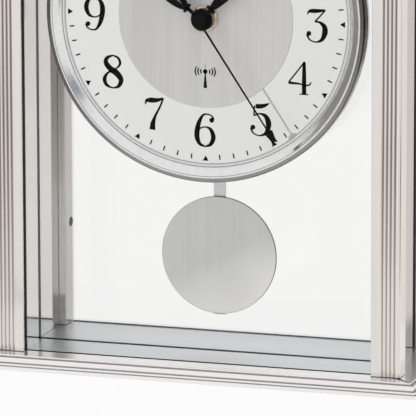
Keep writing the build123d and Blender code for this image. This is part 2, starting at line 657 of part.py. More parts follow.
def make_motion_work():
    """Hour wheel, motion wheel and the minute wheel with its cannon pinion."""
    to_cannon = CANNON_Y - HOUR_WHEEL_Y
    to_minute = MINUTE_WHEEL_Y - CANNON_Y

    hour_rear = HOUR_WHEEL_Y + WHEEL_T
    hour = wheel(HOUR_TEETH, MOTION_MODULE, MOTION_WHEEL_ANGLE, HOUR_WHEEL_Y)
    hour = hour + rod_y(HOUR_TUBE_R, HOUR_Y, hour_rear)
    nodes["hour_wheel"] = hour - bore_y(HOUR_TUBE_IN, HOUR_Y, hour_rear)

    phase = facing(MOTION_PINION_TEETH, MOTION_WHEEL_ANGLE)
    motion = wheel(MOTION_PINION_TEETH, MOTION_MODULE, phase, HOUR_WHEEL_Y, MOTION_AXIS, to_cannon)
    phase = facing(MOTION_TEETH, MOTION_WHEEL_ANGLE)
    motion = motion + wheel(MOTION_TEETH, MOTION_MODULE, phase, CANNON_Y, MOTION_AXIS)
    stud = bore_y(MOTION_STUD_R + RUN, HOUR_WHEEL_Y, CANNON_Y + WHEEL_T, *MOTION_AXIS)
    nodes["motion_wheel"] = motion - stud

    minute_rear = MINUTE_WHEEL_Y + WHEEL_T
    minute = wheel(CANNON_TEETH, MOTION_MODULE, MOTION_WHEEL_ANGLE, CANNON_Y, thickness=to_minute)
    minute = minute + wheel(MINUTE_TEETH, TRAIN_MODULE, MINUTES_TRAIN_ANGLE, MINUTE_WHEEL_Y)
    minute = minute + rod_y(MINUTE_TUBE_R, MINUTE_Y, minute_rear)
    nodes["minute_wheel"] = minute - bore_y(MINUTE_TUBE_IN, MINUTE_Y, minute_rear)


def make_trains():
    """Second wheel, and an idler and a rotor for each of the two motors."""
    rear_end = COVER_FRONT + ARBOR_DEPTH
    front_end = TRAIN_PLATE_Y + RUN

    second = wheel(SECOND_TEETH, SECOND_MODULE, SECONDS_TRAIN_ANGLE, SECOND_WHEEL_Y)
    nodes["second_wheel"] = second + rod_y(SECOND_ARBOR_R, SECOND_Y + SECOND_SOCKET, rear_end)

    phase = facing(PINION_TEETH, MINUTES_TRAIN_ANGLE)
    idler = wheel(PINION_TEETH, TRAIN_MODULE, phase, MINUTE_WHEEL_Y, MINUTES_AXIS)
    idler = idler + wheel(IDLER_TEETH, TRAIN_MODULE, MINUTES_TRAIN_ANGLE, MINUTES_LAYER, MINUTES_AXIS)
    nodes["minutes_idler"] = idler + rod_y(ARBOR_R, SHELL_INNER - ARBOR_DEPTH, rear_end, *MINUTES_AXIS)
    rotor = wheel(PINION_TEETH, TRAIN_MODULE, phase, MINUTES_LAYER, MINUTES_ROTOR_AXIS)
    rotor = rotor + rod_y(MAGNET_R, SECONDS_LAYER, SECONDS_LAYER + MAGNET_T, *MINUTES_ROTOR_AXIS)
    nodes["minutes_rotor"] = rotor + rod_y(ARBOR_R, front_end, rear_end, *MINUTES_ROTOR_AXIS)

    phase = facing(PINION_TEETH, SECONDS_TRAIN_ANGLE)
    idler = wheel(PINION_TEETH, SECOND_MODULE, phase, SECOND_WHEEL_Y, SECONDS_AXIS)
    idler = idler + wheel(IDLER_TEETH, TRAIN_MODULE, SECONDS_TRAIN_ANGLE, SECONDS_LAYER, SECONDS_AXIS)
    nodes["seconds_idler"] = idler + rod_y(ARBOR_R, front_end, rear_end, *SECONDS_AXIS)
    rotor = wheel(PINION_TEETH, TRAIN_MODULE, phase, SECONDS_LAYER, SECONDS_ROTOR_AXIS)
    rotor = rotor + rod_y(MAGNET_R, SECONDS_MAGNET_Y, SECONDS_MAGNET_Y + MAGNET_T, *SECONDS_ROTOR_AXIS)
    nodes["seconds_rotor"] = rotor + rod_y(ARBOR_R, front_end, rear_end, *SECONDS_ROTOR_AXIS)


# Movement case and what is fixed in it

def pillars():
    """Places of the pillars that carry the train plate, clear of the wheels."""
    left = MINUTES_ROTOR_AXIS[0] - MAGNET_R
    low = SECONDS_ROTOR_AXIS[1] - MAGNET_R - PILLAR_R
    right = SECONDS_ROTOR_AXIS[0] + MAGNET_R
    return [(left, PILLAR_UP), (left, low), (right, low)]


def motor(axis, layer, degrees):
    """Stator plate with its round eye and long arm, and the coil on the arm."""
    turn = Rot(0, 0, degrees)
    head = Rectangle(STATOR_W, STATOR_W)
    arm = Pos(STATOR_W / 2 + STATOR_ARM / 2, 0) * Rectangle(STATOR_ARM, STATOR_ARM_W)
    shape = turn * (head + arm - Circle(MAGNET_R + STATOR_GAP))
    middle = layer + MAGNET_T / 2
    stator = slab(shape, middle - STATOR_T / 2, middle + STATOR_T / 2, *axis)
    bobbin = turn * (Pos(COIL_OFFSET + COIL_L / 2, 0) * Rectangle(COIL_L, COIL_W))
    coil = slab(bobbin, middle - COIL_H / 2, middle + COIL_H / 2, *axis)
    slot = turn * (Pos(COIL_OFFSET + COIL_L / 2, 0) * Rectangle(COIL_L + CUT, STATOR_ARM_W + FIT))
    return stator, coil - slab(slot, middle - STATOR_T / 2 - FIT / 2, middle + STATOR_T / 2 + FIT / 2, *axis)


def make_movement():
    half, inner = MOVEMENT_HALF, MOVEMENT_HALF - SHELL
    arbors = (MINUTES_AXIS, SECONDS_AXIS, MINUTES_ROTOR_AXIS, SECONDS_ROTOR_AXIS)
    room = (-inner, inner, SHELL_INNER, COVER_FRONT + CUT)
    case = cell(-half, half, SHELL_FRONT, COVER_FRONT, -MOVEMENT_DOWN, MOVEMENT_UP)
    case = case - cell(*room, -MOVEMENT_DOWN + SHELL, BAY_UP - SHELL)
    case = case - cell(*room, BAY_UP, MOVEMENT_UP - SHELL)
    case = case - bore_y(BUSH_R + RUN, SHELL_FRONT, SHELL_INNER)
    case = case + rod_y(MOTION_STUD_R, SHELL_INNER, CANNON_Y + WHEEL_T, *MOTION_AXIS)
    for place in pillars():
        case = case + rod_y(PILLAR_R, SHELL_INNER, TRAIN_PLATE_Y, *place)
    bearing = (SHELL_INNER - BEARING_DEPTH, SHELL_INNER)
    nodes["movement_case"] = case - rod_y(ARBOR_R + RUN, *bearing, *MINUTES_AXIS)

    bush = rod_y(BUSH_R, -BUSH_FRONT, SHELL_INNER)
    bush = bush + rod_y(BUSH_FLANGE_R, SHELL_INNER, SHELL_INNER + LAYER_GAP)
    nodes["centre_bush"] = bush - bore_y(BUSH_IN, -BUSH_FRONT, SHELL_INNER)
    nodes["rubber_washer"] = rod_y(WASHER_R, DIAL_T, SHELL_FRONT) - bore_y(BUSH_R + FIT, DIAL_T, SHELL_FRONT)

    upper_left, lower_left, lower_right = pillars()
    plate_y = (TRAIN_PLATE_Y, TRAIN_PLATE_Y + TRAIN_PLATE_T)
    plate = cell(lower_left[0] - PILLAR_R, lower_right[0] + PILLAR_R, *plate_y,
                 lower_left[1] - PILLAR_R, upper_left[1] + PILLAR_R)
    plate = plate - bore_y(SECOND_ARBOR_R + RUN, *plate_y)
    for axis in arbors:
        plate = plate - bore_y(ARBOR_R + RUN, *plate_y, *axis)
    nodes["train_plate"] = plate

    cover = cell(-half, half, COVER_FRONT, COVER_REAR, -MOVEMENT_DOWN, BAY_UP)
    bearing = (COVER_FRONT, COVER_FRONT + BEARING_DEPTH)
    cover = cover - rod_y(SECOND_ARBOR_R + RUN, *bearing)
    for axis in arbors:
        cover = cover - rod_y(ARBOR_R + RUN, *bearing, *axis)
    for side in (-1, 1):
        cover = cover - bore_y(BUTTON_STEM_R + RUN, COVER_FRONT, COVER_REAR, side * BUTTON_X, BUTTON_UP)
    pin_end = hanger_depths()[1] + PIVOT_END_PLAY
    cover = cover + rod_y(PIVOT_PIN_R, COVER_REAR, pin_end, 0.0, -PIVOT_DROP)
    cover = cover + rod_y(PIVOT_HEAD_R, pin_end, pin_end + PIVOT_HEAD_T, 0.0, -PIVOT_DROP)
    nodes["movement_cover"] = cover

    minutes = motor(MINUTES_ROTOR_AXIS, SECONDS_LAYER, 270.0)
    seconds = motor(SECONDS_ROTOR_AXIS, SECONDS_MAGNET_Y, 0.0)
    nodes["motor_stators"] = Compound([minutes[0], seconds[0]])
    nodes["motor_coils"] = Compound([minutes[1], seconds[1]])

    board_y = SHELL_INNER + BOARD_T
    board_low = -MOVEMENT_DOWN + SHELL + FIT
    board_top = board_low + BOARD_H
    nodes["circuit_board"] = cell(-inner + FIT, inner - FIT, SHELL_INNER, board_y, board_low, board_top)
    aerial_z = (board_low + board_top) / 2
    nodes["aerial"] = rod_x(AERIAL_R, -AERIAL_L / 2, AERIAL_L / 2, board_y + AERIAL_R, aerial_z)
    coil_z = -PIVOT_DROP - MAGNET_DROP
    coil_y = (COVER_FRONT - DRIVE_COIL_T, COVER_FRONT)
    nodes["pendulum_drive_coil"] = (rod_y(DRIVE_COIL_R, *coil_y, 0.0, coil_z)
                                    - bore_y(DRIVE_COIL_BORE, *coil_y, 0.0, coil_z))

    battery_y = SHELL_INNER + FIT + BATTERY_R
    can_end = BATTERY_L / 2 - NUB_L
    can = rod_x(BATTERY_R, -BATTERY_L / 2, can_end, battery_y, BATTERY_UP)
    nodes["battery"] = can + rod_x(NUB_R, can_end, BATTERY_L / 2, battery_y, BATTERY_UP)
    contact_x = (BATTERY_L / 2 + FIT, inner)
    leaf_z = (BATTERY_UP - CONTACT_W / 2, BATTERY_UP + CONTACT_W / 2)
    nodes["battery_contacts"] = Compound([
        cell(*contact_x, SHELL_INNER, COVER_FRONT, *leaf_z),
        cell(-contact_x[1], -contact_x[0], SHELL_INNER, COVER_FRONT, *leaf_z)])


# Pendulum

def hanger_depths():
    """Front and rear faces of the hanger, around the flat rod."""
    return (BOB_REAR_Y - HANGER_SKIN, BOB_REAR_Y + ROD_T + HANGER_SKIN)


def make_pendulum():
    front, rear = hanger_depths()
    pivot_z = -PIVOT_DROP
    low = pivot_z - HANGER_DOWN
    socket_top = low + HANGER_SOCKET
    hanger = cell(-HANGER_W / 2, HANGER_W / 2, front, rear, low, pivot_z + HANGER_TOP)
    hanger = hanger + rod_y(MAGNET_BOSS_R, front - MAGNET_BOSS_T, front, 0.0, pivot_z - MAGNET_DROP)
    hanger = hanger - bore_y(PIVOT_PIN_R + RUN, front, rear, 0.0, pivot_z)
    socket = cell(-ROD_W / 2 - RUN, ROD_W / 2 + RUN, BOB_REAR_Y - RUN, BOB_REAR_Y + ROD_T + RUN,
                  low - CUT, socket_top)
    nodes["pendulum_hanger"] = hanger - socket
    rod_low = -BOB_DROP - BOB_R - ROD_BELOW
    nodes["pendulum_rod"] = cell(-ROD_W / 2, ROD_W / 2, BOB_REAR_Y, BOB_REAR_Y + ROD_T, rod_low, socket_top)
    nodes["pendulum_bob"] = rod_y(BOB_R, BOB_REAR_Y - BOB_T, BOB_REAR_Y, 0.0, -BOB_DROP)


def make_buttons():
    cap_front = COVER_REAR + BUTTON_TRAVEL + BUTTON_GAP
    flange = (COVER_FRONT - BUTTON_GAP - BUTTON_FLANGE_T, COVER_FRONT - BUTTON_GAP)
    for name, side in (("set_button", -1), ("reset_button", 1)):
        place = (side * BUTTON_X, BUTTON_UP)
        stem = rod_y(BUTTON_STEM_R, flange[0], cap_front, *place)
        cap = rod_y(BUTTON_CAP_R, cap_front, cap_front + BUTTON_CAP_T, *place)
        nodes[name] = stem + cap + rod_y(BUTTON_FLANGE_R, *flange, *place)


make_frames()
make_walls()
make_glass()
make_door()
make_dial_head()
make_hands()
make_motion_work()
make_trains()
make_movement()
make_pendulum()
make_buttons()

os.makedirs("parts", exist_ok=True)
for name, piece in nodes.items():
    export_step(Pos(0, -MID_Y, 0) * piece, "parts/" + name + ".step")
print(len(nodes), "nodes, dial axis at Y", round(-MID_Y, 3), "Z", round(DIAL_Z, 3))
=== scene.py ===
# %% [markdown]
# # Desk pendulum clock
# A case of drawn aluminium and glass holds a round dial, and a flat pendulum swings below it.
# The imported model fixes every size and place. This lesson keeps those places and gives the pieces
# softer edges, a printed dial, real finishes, light and a camera.

# %% Load the frame
import math

import bmesh
import bpy
import numpy as np
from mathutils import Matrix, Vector


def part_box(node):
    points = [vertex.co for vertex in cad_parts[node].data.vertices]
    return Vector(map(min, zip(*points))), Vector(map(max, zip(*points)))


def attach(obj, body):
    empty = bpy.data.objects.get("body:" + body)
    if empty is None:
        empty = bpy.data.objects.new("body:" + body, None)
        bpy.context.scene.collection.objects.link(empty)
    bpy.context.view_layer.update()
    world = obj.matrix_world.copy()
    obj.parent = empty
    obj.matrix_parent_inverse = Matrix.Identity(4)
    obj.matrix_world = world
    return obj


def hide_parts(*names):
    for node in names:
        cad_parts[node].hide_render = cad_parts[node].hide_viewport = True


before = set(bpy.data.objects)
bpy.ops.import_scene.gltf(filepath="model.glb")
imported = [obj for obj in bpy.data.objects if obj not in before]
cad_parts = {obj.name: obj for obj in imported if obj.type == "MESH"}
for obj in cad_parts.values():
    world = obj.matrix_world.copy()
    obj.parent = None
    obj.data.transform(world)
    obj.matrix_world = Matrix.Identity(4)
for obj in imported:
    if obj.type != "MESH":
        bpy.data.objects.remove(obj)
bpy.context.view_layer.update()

MM = 0.001

# %% [markdown]
# ## Places
# Sizes are in millimetres unless a line says metres. The main places are read from the boxes of the packed
# pieces, so nothing has to be fitted. Depths are counted along Y, and the dial looks towards minus Y.

# %% Read the places of the main pieces


def span(node):
    """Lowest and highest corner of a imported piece, in millimetres."""
    low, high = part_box(node)
    return np.array(low) / MM, np.array(high) / MM


AXIS_X, _, AXIS_Z = np.mean(span("bezel"), axis=0)
DIAL_Y = span("dial_plate")[0][1]
FLOOR_Z = span("floor_plate")[1][2]
CEILING_Z = span("ceiling_plate")[0][2]
WALL_X = span("right_side_wall")[0][0]
print("dial axis", AXIS_X, AXIS_Z, "dial face", DIAL_Y, "floor", FLOOR_Z, "wall", WALL_X)

# %% [markdown]
# ## Surfaces from arrays
# A piece could be modelled by hand in edit mode. Here each one is a grid of points worked out with numpy:
# rows follow a profile, columns follow a path, and quads join the neighbours. That keeps real sizes in
# the code and makes every edge round in the same way.

# %% Helpers that turn arrays into pieces
SHARP_ANGLE = math.radians(32.0)
WELD = 1e-7  # metres, joins the points of a pole or a seam
FLAT_WEIGHT = 100  # lets large faces decide the normals, so that flats stay flat


def shell(points, loop_rows=False, loop_columns=True, caps=False):
    """A grid of points (rows, columns, 3) with its faces: each joins a point, its neighbour in the next
    row, and the two beside them. Caps close the first and the last row."""
    rows, columns = points.shape[:2]
    index = np.arange(rows * columns).reshape(rows, columns)
    ends = [index[0][::-1].tolist(), index[-1].tolist()] if caps else []
    if loop_rows:
        index = np.vstack([index, index[:1]])
    if loop_columns:
        index = np.hstack([index, index[:, :1]])
    corners = (index[:-1, :-1], index[1:, :-1], index[1:, 1:], index[:-1, 1:])
    faces = np.stack(corners, axis=-1).reshape(-1, 4).tolist()
    return points.reshape(-1, 3), faces + ends


def together(shells):
    """Several shells as one: the faces of each count on from the points before it."""
    points, faces, count = [], [], 0
    for some, their_faces in shells:
        points.append(some)
        faces += [[count + corner for corner in face] for face in their_faces]
        count += len(some)
    return np.concatenate(points), faces


def linked(name, data):
    """An object of some data, linked to the scene."""
    thing = bpy.data.objects.new(name, data)
    bpy.context.scene.collection.objects.link(thing)
    return thing


def piece(name, made, body, slot, *stands_for):
    """A mesh object of one shell, with doubles merged and its faces outwards, riding on a body."""
    points, faces = made
    mesh = bpy.data.meshes.new(name)
    mesh.from_pydata((points * MM).tolist(), [], faces)
    shape = bmesh.new()
    shape.from_mesh(mesh)
    bmesh.ops.remove_doubles(shape, verts=shape.verts, dist=WELD)
    bmesh.ops.recalc_face_normals(shape, faces=shape.faces)
    shape.to_mesh(mesh)
    shape.free()
    mesh.shade_smooth()
    mesh.set_sharp_from_angle(angle=SHARP_ANGLE)
    thing = linked(name, mesh)
    even = thing.modifiers.new("even_flats", "WEIGHTED_NORMAL")
    even.weight = FLAT_WEIGHT
    even.keep_sharp = True
    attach(thing, body)
    if stands_for:
        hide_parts(*stands_for)
    return thing


def sink(thing, depth):
    """Stores a share from 0 to 1 on each point of a piece, for its finish to read: painted shade and painted
    light, and dark joints.
    """
    mesh = thing.data
    points = np.empty(3 * len(mesh.vertices))
    mesh.vertices.foreach_get("co", points)
    layer = mesh.attributes.new("painted_light_and_joints", "FLOAT", "POINT")
    layer.data.foreach_set("value", np.clip(depth(points.reshape(-1, 3) / MM), 0.0, 1.0))


# %% [markdown]
# Sharp corners look like a drawing, not like metal: a real edge is always broken a little and catches a
# thin line of light. `eased` rounds the corners of an outline, and the other helpers carry an outline
# round the dial axis or along a straight line.

# %% Helpers for outlines, turned pieces and bars
TURN_STEPS = 240
BOW_STEPS = 5
SIDE_SHARE = 0.48  # of a side, the most that the curve at one of its ends takes
SHARP = 0.05  # ease of a corner that stays sharp


def eased(corners, radius, steps=5):
    """Closed outline whose corners are replaced by curves. A curve leaves one side at the length
    radius / tan(half the corner) from the corner, meets the other side at the same length, and is the
    quadratic blend of those two points and the corner."""
    corner = np.asarray(corners, float)
    back = np.roll(corner, 1, axis=0) - corner
    ahead = np.roll(corner, -1, axis=0) - corner
    back_length = np.linalg.norm(back, axis=1)
    ahead_length = np.linalg.norm(ahead, axis=1)
    back = back / back_length[:, None]
    ahead = ahead / ahead_length[:, None]
    half = 0.5 * np.arccos(np.clip((back * ahead).sum(axis=1), -1.0, 1.0))
    reach = np.minimum(radius / np.tan(half), SIDE_SHARE * np.minimum(back_length, ahead_length))
    start, end = corner + back * reach[:, None], corner + ahead * reach[:, None]
    t = np.linspace(0.0, 1.0, steps)[None, :, None]
    curve = (1 - t) ** 2 * start[:, None] + 2 * t * (1 - t) * corner[:, None] + t ** 2 * end[:, None]
    return curve.reshape(-1, 2)


def turned(profile, z=AXIS_Z, closed=True):
    """Profile of (radius, depth) points turned about an axis along Y: each point draws a circle."""
    turn = np.linspace(0.0, 2 * np.pi, TURN_STEPS, endpoint=False)
    radius, depth = profile[:, :1], profile[:, 1:]
    circles = [AXIS_X + radius * np.sin(turn), depth + 0 * turn, z + radius * np.cos(turn)]
    return shell(np.stack(circles, axis=-1), loop_rows=closed)


def bar(low, high, ease, along=2):
    """Bar with eased edges: a rounded rectangle carried along one axis. At both ends it draws in on a
    quarter circle of the same radius."""
    low, high = np.asarray(low, float), np.asarray(high, float)
    middle, half = (low + high) / 2, (high - low) / 2
    across = [axis for axis in range(3) if axis != along]
    plan = eased(np.array([[-1, -1], [1, -1], [1, 1], [-1, 1]]) * half[across], ease)
    bow = np.linspace(0.0, np.pi / 2, BOW_STEPS)
    draw, rise = ease * (1 - np.sin(bow)), ease * (1 - np.cos(bow))
    place = np.concatenate([rise - half[along], (half[along] - rise)[::-1]])
    shrink = 1 - np.concatenate([draw, draw[::-1]])[:, None] / half[across]
    points = np.empty((len(place), len(plan), 3))
    points[..., across] = middle[across] + shrink[:, None] * plan
    points[..., along] = middle[along] + place[:, None]
    return shell(points, caps=True)


# %% [markdown]
# ## Fluted columns
# The four columns are drawn bars: their plan is pulled through a die, with four narrow flutes and a
# round outer edge. So the mesh is made in the same way, as one plan carried straight up.

# %% Columns
FLUTE_START = 2.25  # first flute from the wall's inner face
FLUTE_PITCH = 1.65
FLUTE_COUNT = 4
FLUTE_W = 0.85
FLUTE_D = 0.7
FLUTE_SHADE_LINE = 0.32  # half width of the painted shade line at a flute's bottom
FLUTE_SHADE = 0.75  # width of the weaker painted shade to the left of it
SHADE_SHARE = 0.3  # strength of that painted shade
SHADE_FULL_Z = 100.0  # painted line and shade are full from here up, and weaker towards the foot
SHADE_FOOT = 0.3
LIP_T = 2.8
WALL_GAP = 1.1  # wall and its clearance, between the lip and the column's body
CORNER_R = 1.4
EDGE = 0.25  # broken edges of drawn metal
RIDGE = 0.7  # round top of the ridges between flutes
PLAN_STEPS = 7
FOOT_GAP = 0.25  # thin dark joint under and above a column


def column_plan(node):
    """Plan of a column as (x, y): lip, face with flutes, outer side and back. The plan of the front right
    one is mirrored to the left or to the rear."""
    low, high = span(node)
    inner, outer = sorted(abs(np.array([low[0], high[0]])))
    depth = high[1] - low[1]
    flute = WALL_X + FLUTE_START + FLUTE_PITCH * np.arange(FLUTE_COUNT)
    groove_x = np.stack([flute - FLUTE_W / 2, flute, flute + FLUTE_W / 2], axis=1).ravel()
    groove_y = np.tile([0.0, FLUTE_D, 0.0], FLUTE_COUNT)
    body = WALL_X + WALL_GAP
    ends_x = [outer, outer, body, body, inner, inner]
    ends_y = [0.0, depth, depth, LIP_T, LIP_T, 0.0]
    corners = np.column_stack([np.append(groove_x, ends_x), np.append(groove_y, ends_y)])
    radius = np.append(np.tile([RIDGE, EDGE / 2, RIDGE], FLUTE_COUNT), [CORNER_R] + [EDGE] * 5)
    plan = eased(corners, radius, PLAN_STEPS)
    x = np.sign(low[0]) * plan[:, 0]
    y = low[1] + plan[:, 1] if low[1] < 0 else high[1] - plan[:, 1]
    return np.column_stack([x, y])


def flute_depth(at):
    """Painted shade of the flutes: a dark line painted at the nearest flute's bottom, with a weaker painted
    shade that fades over FLUTE_SHADE to the left of it. Both are weaker towards the foot."""
    place = (np.abs(at[:, 0]) - WALL_X - FLUTE_START) / FLUTE_PITCH
    nearest = np.round(place)
    beside = (place - nearest) * FLUTE_PITCH * np.sign(at[:, 0])
    fluted = (nearest >= 0) & (nearest < FLUTE_COUNT)
    line = np.clip(1.0 - np.abs(beside) / FLUTE_SHADE_LINE, 0.0, 1.0)
    shade = SHADE_SHARE * np.clip(1.0 + beside / FLUTE_SHADE, 0.0, 1.0) * (beside < 0.0)
    strength = np.interp(at[:, 2], [FLOOR_Z, SHADE_FULL_Z], [SHADE_FOOT, 1.0])
    return strength * np.maximum(line, shade) * fluted


def column(node):
    """Plan carried from the base frame up to the top frame, with a row of points where the painted shade is
    full.
    """
    plan = column_plan(node)
    levels = (FLOOR_Z + FOOT_GAP, SHADE_FULL_Z, CEILING_Z - FOOT_GAP)
    rows = [np.column_stack([plan, np.full(len(plan), z)]) for z in levels]
    made = piece(node + "_drawn", shell(np.stack(rows), caps=True), "case", "polished_aluminium", node)
    # painted shade in the flutes, stored on the points for the finish
    sink(made, flute_depth)
    return made


columns = [column(end + side + "_column") for end in ("front_", "rear_") for side in ("left", "right")]
print(len(columns), "columns with", len(columns[0].data.polygons), "faces each")

# %% [markdown]
# ## Reeded rails
# The base and the top are the same frame, turned over: a flat land, then three reeds that step outwards,
# with narrow grooves between them. A rail is its section carried along one edge. At the front corners
# the bars are cut on the mitre, so there a point runs as far past the corner as it lies outside the land.

# %% Rails
LAND_OVERHANG = 6.2  # from the columns to the edge of the land
LAND_EDGE = 0.6
GROOVE_H = 0.3
GROOVE_D = 0.5
REEDS = ((1.95, 1.4), (0.8, 2.5), (1.6, 3.1))  # height and reach of each reed
REED_EASE = 0.3
RAIL_GROOVE_SHADE = 0.45  # how dark the painted shade in the grooves is
GROOVE_SLACK = 0.05  # eased corners this far outside a groove still count as part of it
GROOVE_ZONE = 1.0  # grooves lie no further inside the edge of the land than this

column_low, column_high = span("front_right_column")
FRONT_EDGE = column_low[1] - LAND_OVERHANG
SIDE_EDGE = column_high[0] + LAND_OVERHANG
FRONT_SEAM = span("base_front_rail")[1][1]
REAR_Y = span("base_left_rail")[1][1]


def reeded_section(inner):
    """Rail section as (outward, down) points with every corner eased."""
    corners, ease = [(-inner, 0.0), (0.0, 0.0)], [SHARP, REED_EASE]
    out, down = 0.0, LAND_EDGE
    for height, reach in REEDS:
        corners += [(out, down), (out - GROOVE_D, down), (out - GROOVE_D, down + GROOVE_H),
                    (reach, down + GROOVE_H)]
        ease += [REED_EASE / 2, SHARP, SHARP, REED_EASE]
        out, down = reach, down + GROOVE_H + height
    corners += [(out, down), (-inner, down)]
    ease += [REED_EASE, SHARP]
    return eased(corners, np.array(ease))


def rail(land, way, side):
    """Section carried along X for the front rail (side 0) or along Y for a side rail (-1 or 1)."""
    section = reeded_section(FRONT_SEAM - FRONT_EDGE if side == 0 else SIDE_EDGE - WALL_X)
    out, height = section[:, 0], land + way * section[:, 1]
    front = np.minimum(FRONT_EDGE - out, FRONT_SEAM)
    if side == 0:
        ends = [np.column_stack([end * (SIDE_EDGE + out), front, height]) for end in (-1, 1)]
    else:
        across = side * (SIDE_EDGE + out)
        ends = [np.column_stack([across, end, height]) for end in (front, np.full_like(out, REAR_Y))]
    return shell(np.stack(ends), caps=True)


def groove_depth(at, land):
    """Painted shade on the points of a rail that lie inside a groove, told by their distance from the land.
    """
    below = np.abs(at[:, 2] - land)
    tops = LAND_EDGE + np.cumsum([0.0] + [GROOVE_H + height for height, _ in REEDS[:-1]])
    outward = np.maximum(np.abs(at[:, 0]) - SIDE_EDGE, FRONT_EDGE - at[:, 1])
    inside = [(below > top - GROOVE_SLACK) & (below < top + GROOVE_H + GROOVE_SLACK) for top in tops]
    return np.any(inside, axis=0) * (outward > -GROOVE_ZONE) * RAIL_GROOVE_SHADE


rails = []
for storey, land, way in (("base", FLOOR_Z, -1), ("top", CEILING_Z, 1)):
    for edge, side in (("front", 0), ("left", -1), ("right", 1)):
        node = f"{storey}_{edge}_rail"
        rails.append(piece(node + "_reeded", rail(land, way, side), "case", "polished_aluminium", node))
        # painted shade in the grooves, stored on the points for the finish
        sink(rails[-1], lambda at: groove_depth(at, land))
print(len(rails), "rails with", len(rails[0].data.polygons), "faces each")

# %% [markdown]
# ## Plates, walls and posts
# The floor, the ceiling, the two side walls, the top sheet and the rear posts are flat stock. A plain
# box would do, but broken edges make the joints between them show as fine lines.

# %% Flat stock
PLATE_EASE = 0.2
TOP_EASE = 0.35
POST_EASE = 0.4
STRIP_EASE = 0.1
POST_T = 3.0
STRIP_X = 71.8  # inner face of the strips beside the front glass
STRIP_END = 2.4  # behind the dial's face
SEAL_FRONT = 2.0  # from the column's front to the seal
SILL_Y = (-0.9, -0.4)  # from the door's front face
SILL_H = 0.4
JOINT_X = (1.0, 1.3)  # from the wall's inner face
JOINT_D = 1.3  # in front of the rear columns


def flat_piece(node, slot, ease=PLATE_EASE, body="case"):
    """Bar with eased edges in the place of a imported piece."""
    return piece(node + "_eased", bar(*span(node), ease), body, slot, node)


def pair_of_bars(name, slot, x, y, *stands_for, ease=STRIP_EASE, gap=0.0):
    """Two upright bars, mirrored to the left and the right, between the floor and the ceiling."""
    foot, head = FLOOR_Z + gap, CEILING_Z - gap
    bars = [bar((low, y[0], foot), (high, y[1], head), ease) for low, high in (x, (-x[1], -x[0]))]
    return piece(name, together(bars), "case", slot, *stands_for)


def cross_bar(name, slot, half, low, high, *stands_for):
    """Bar from side to side, between its lowest and highest (y, z)."""
    made = bar((-half, *low), (half, *high), STRIP_EASE, along=0)
    return piece(name, made, "case", slot, *stands_for)


post_low, post_high = span("rear_posts")
glass_low, glass_high = span("front_glass")
rear_column_y = span("rear_right_column")[0][1]
door_y = span("rear_door")[0][1]
plates = [flat_piece(node, "brushed_aluminium") for node in ("floor_plate", "ceiling_plate")]
walls = [flat_piece(node, "brushed_aluminium") for node in ("left_side_wall", "right_side_wall")]
top_sheet = flat_piece("top_sheet", "polished_aluminium", TOP_EASE)
posts = pair_of_bars("rear_posts_eased", "polished_aluminium", (WALL_X - POST_T, WALL_X),
                     (post_low[1], post_high[1]), "rear_posts", ease=POST_EASE, gap=FOOT_GAP)
strips = pair_of_bars("glass_strips", "polished_aluminium", (STRIP_X, WALL_X),
                      (glass_low[1], DIAL_Y + STRIP_END))
seals = pair_of_bars("front_glass_seals", "black_rubber", (STRIP_X, column_low[0]),
                     (column_low[1] + SEAL_FRONT, glass_low[1]))
sill = cross_bar("door_sill_seal", "black_rubber", WALL_X - POST_T,
                 (door_y + SILL_Y[0], FLOOR_Z), (door_y + SILL_Y[1], FLOOR_Z + SILL_H))
front_pane = cross_bar("front_glass_pane", "clear_glass", STRIP_X, glass_low[1:], glass_high[1:],
                       "front_glass")
joints = pair_of_bars("rear_column_joints", "black_rubber", (WALL_X + JOINT_X[0], WALL_X + JOINT_X[1]),
                      (rear_column_y - JOINT_D, rear_column_y))
flat_stock = plates + walls + [top_sheet, posts, strips, seals, sill, front_pane, joints]
print("flat stock:", [thing.name for thing in flat_stock])

# %% [markdown]
# The door closes against two small rubber studs on the left post. A stud is a low dome, turned about X.

# %% Door studs
STUD_R = 2.0
STUD_H = 0.45
STUD_STEPS = (9, 40)  # over the dome and round it
stop_low, stop_high = span("door_stops")


def stud(z):
    """Dome on the post's inner face: a quarter of an ellipse, turned about X."""
    bow = np.linspace(0.0, np.pi / 2, STUD_STEPS[0])
    turn = np.linspace(0.0, 2 * np.pi, STUD_STEPS[1], endpoint=False)
    radius = np.append(STUD_R * np.sin(bow), 0.0)[:, None]
    rise = np.append(STUD_H * np.cos(bow), 0.0)[:, None]
    y = (stop_low[1] + stop_high[1]) / 2 + radius * np.cos(turn)
    return shell(np.stack([POST_T - WALL_X + rise + 0 * turn, y, z + radius * np.sin(turn)], axis=-1))


studs = piece("door_studs", together([stud(stop_low[2] + STUD_R), stud(stop_high[2] - STUD_R)]),
              "case", "black_rubber", "door_stops")
print("studs:", len(studs.data.polygons), "faces")

# %% [markdown]
# ## Dial head
# Bezel, reflector ring and dial are turned on a lathe. The bezel is a chromed ring: a shallow cone that
# rises from the dial to a crest, then a rounded rim that falls back to the glass. Each is a list of
# corners: a radius, a depth behind the dial's face, and how far the corner is eased.

# %% Turned pieces of the dial head
RING_STEPS = 6
BEZEL_IN = 59.6
BEZEL_SEAT = 0.3  # the bezel's inner edge goes this far behind the dial's face
BEZEL_BACK = 10.0
FACE_IN = 60.2  # a narrow flat land lies between the inner edge and the cone
REFLECTOR_IN = 58.3
REFLECTOR_H = 0.25
REFLECTOR_SEAT = 0.1
GROOVE_R = 63.35
CREST_R = 63.9
CREST_H = 2.35
RIM_R = 65.9  # outer edge of the rim in its front part
RIM_BACK_R = 64.4  # the same at its back
DIAL_R = 63.7
DIAL_EDGE = DIAL_R - 0.1  # leaves a thin gap to the bezel
DIAL_T = 1.0
DISC_R = 36.0
DISC_T = 0.3
BORE_R = 4.1  # hole in dial and disc

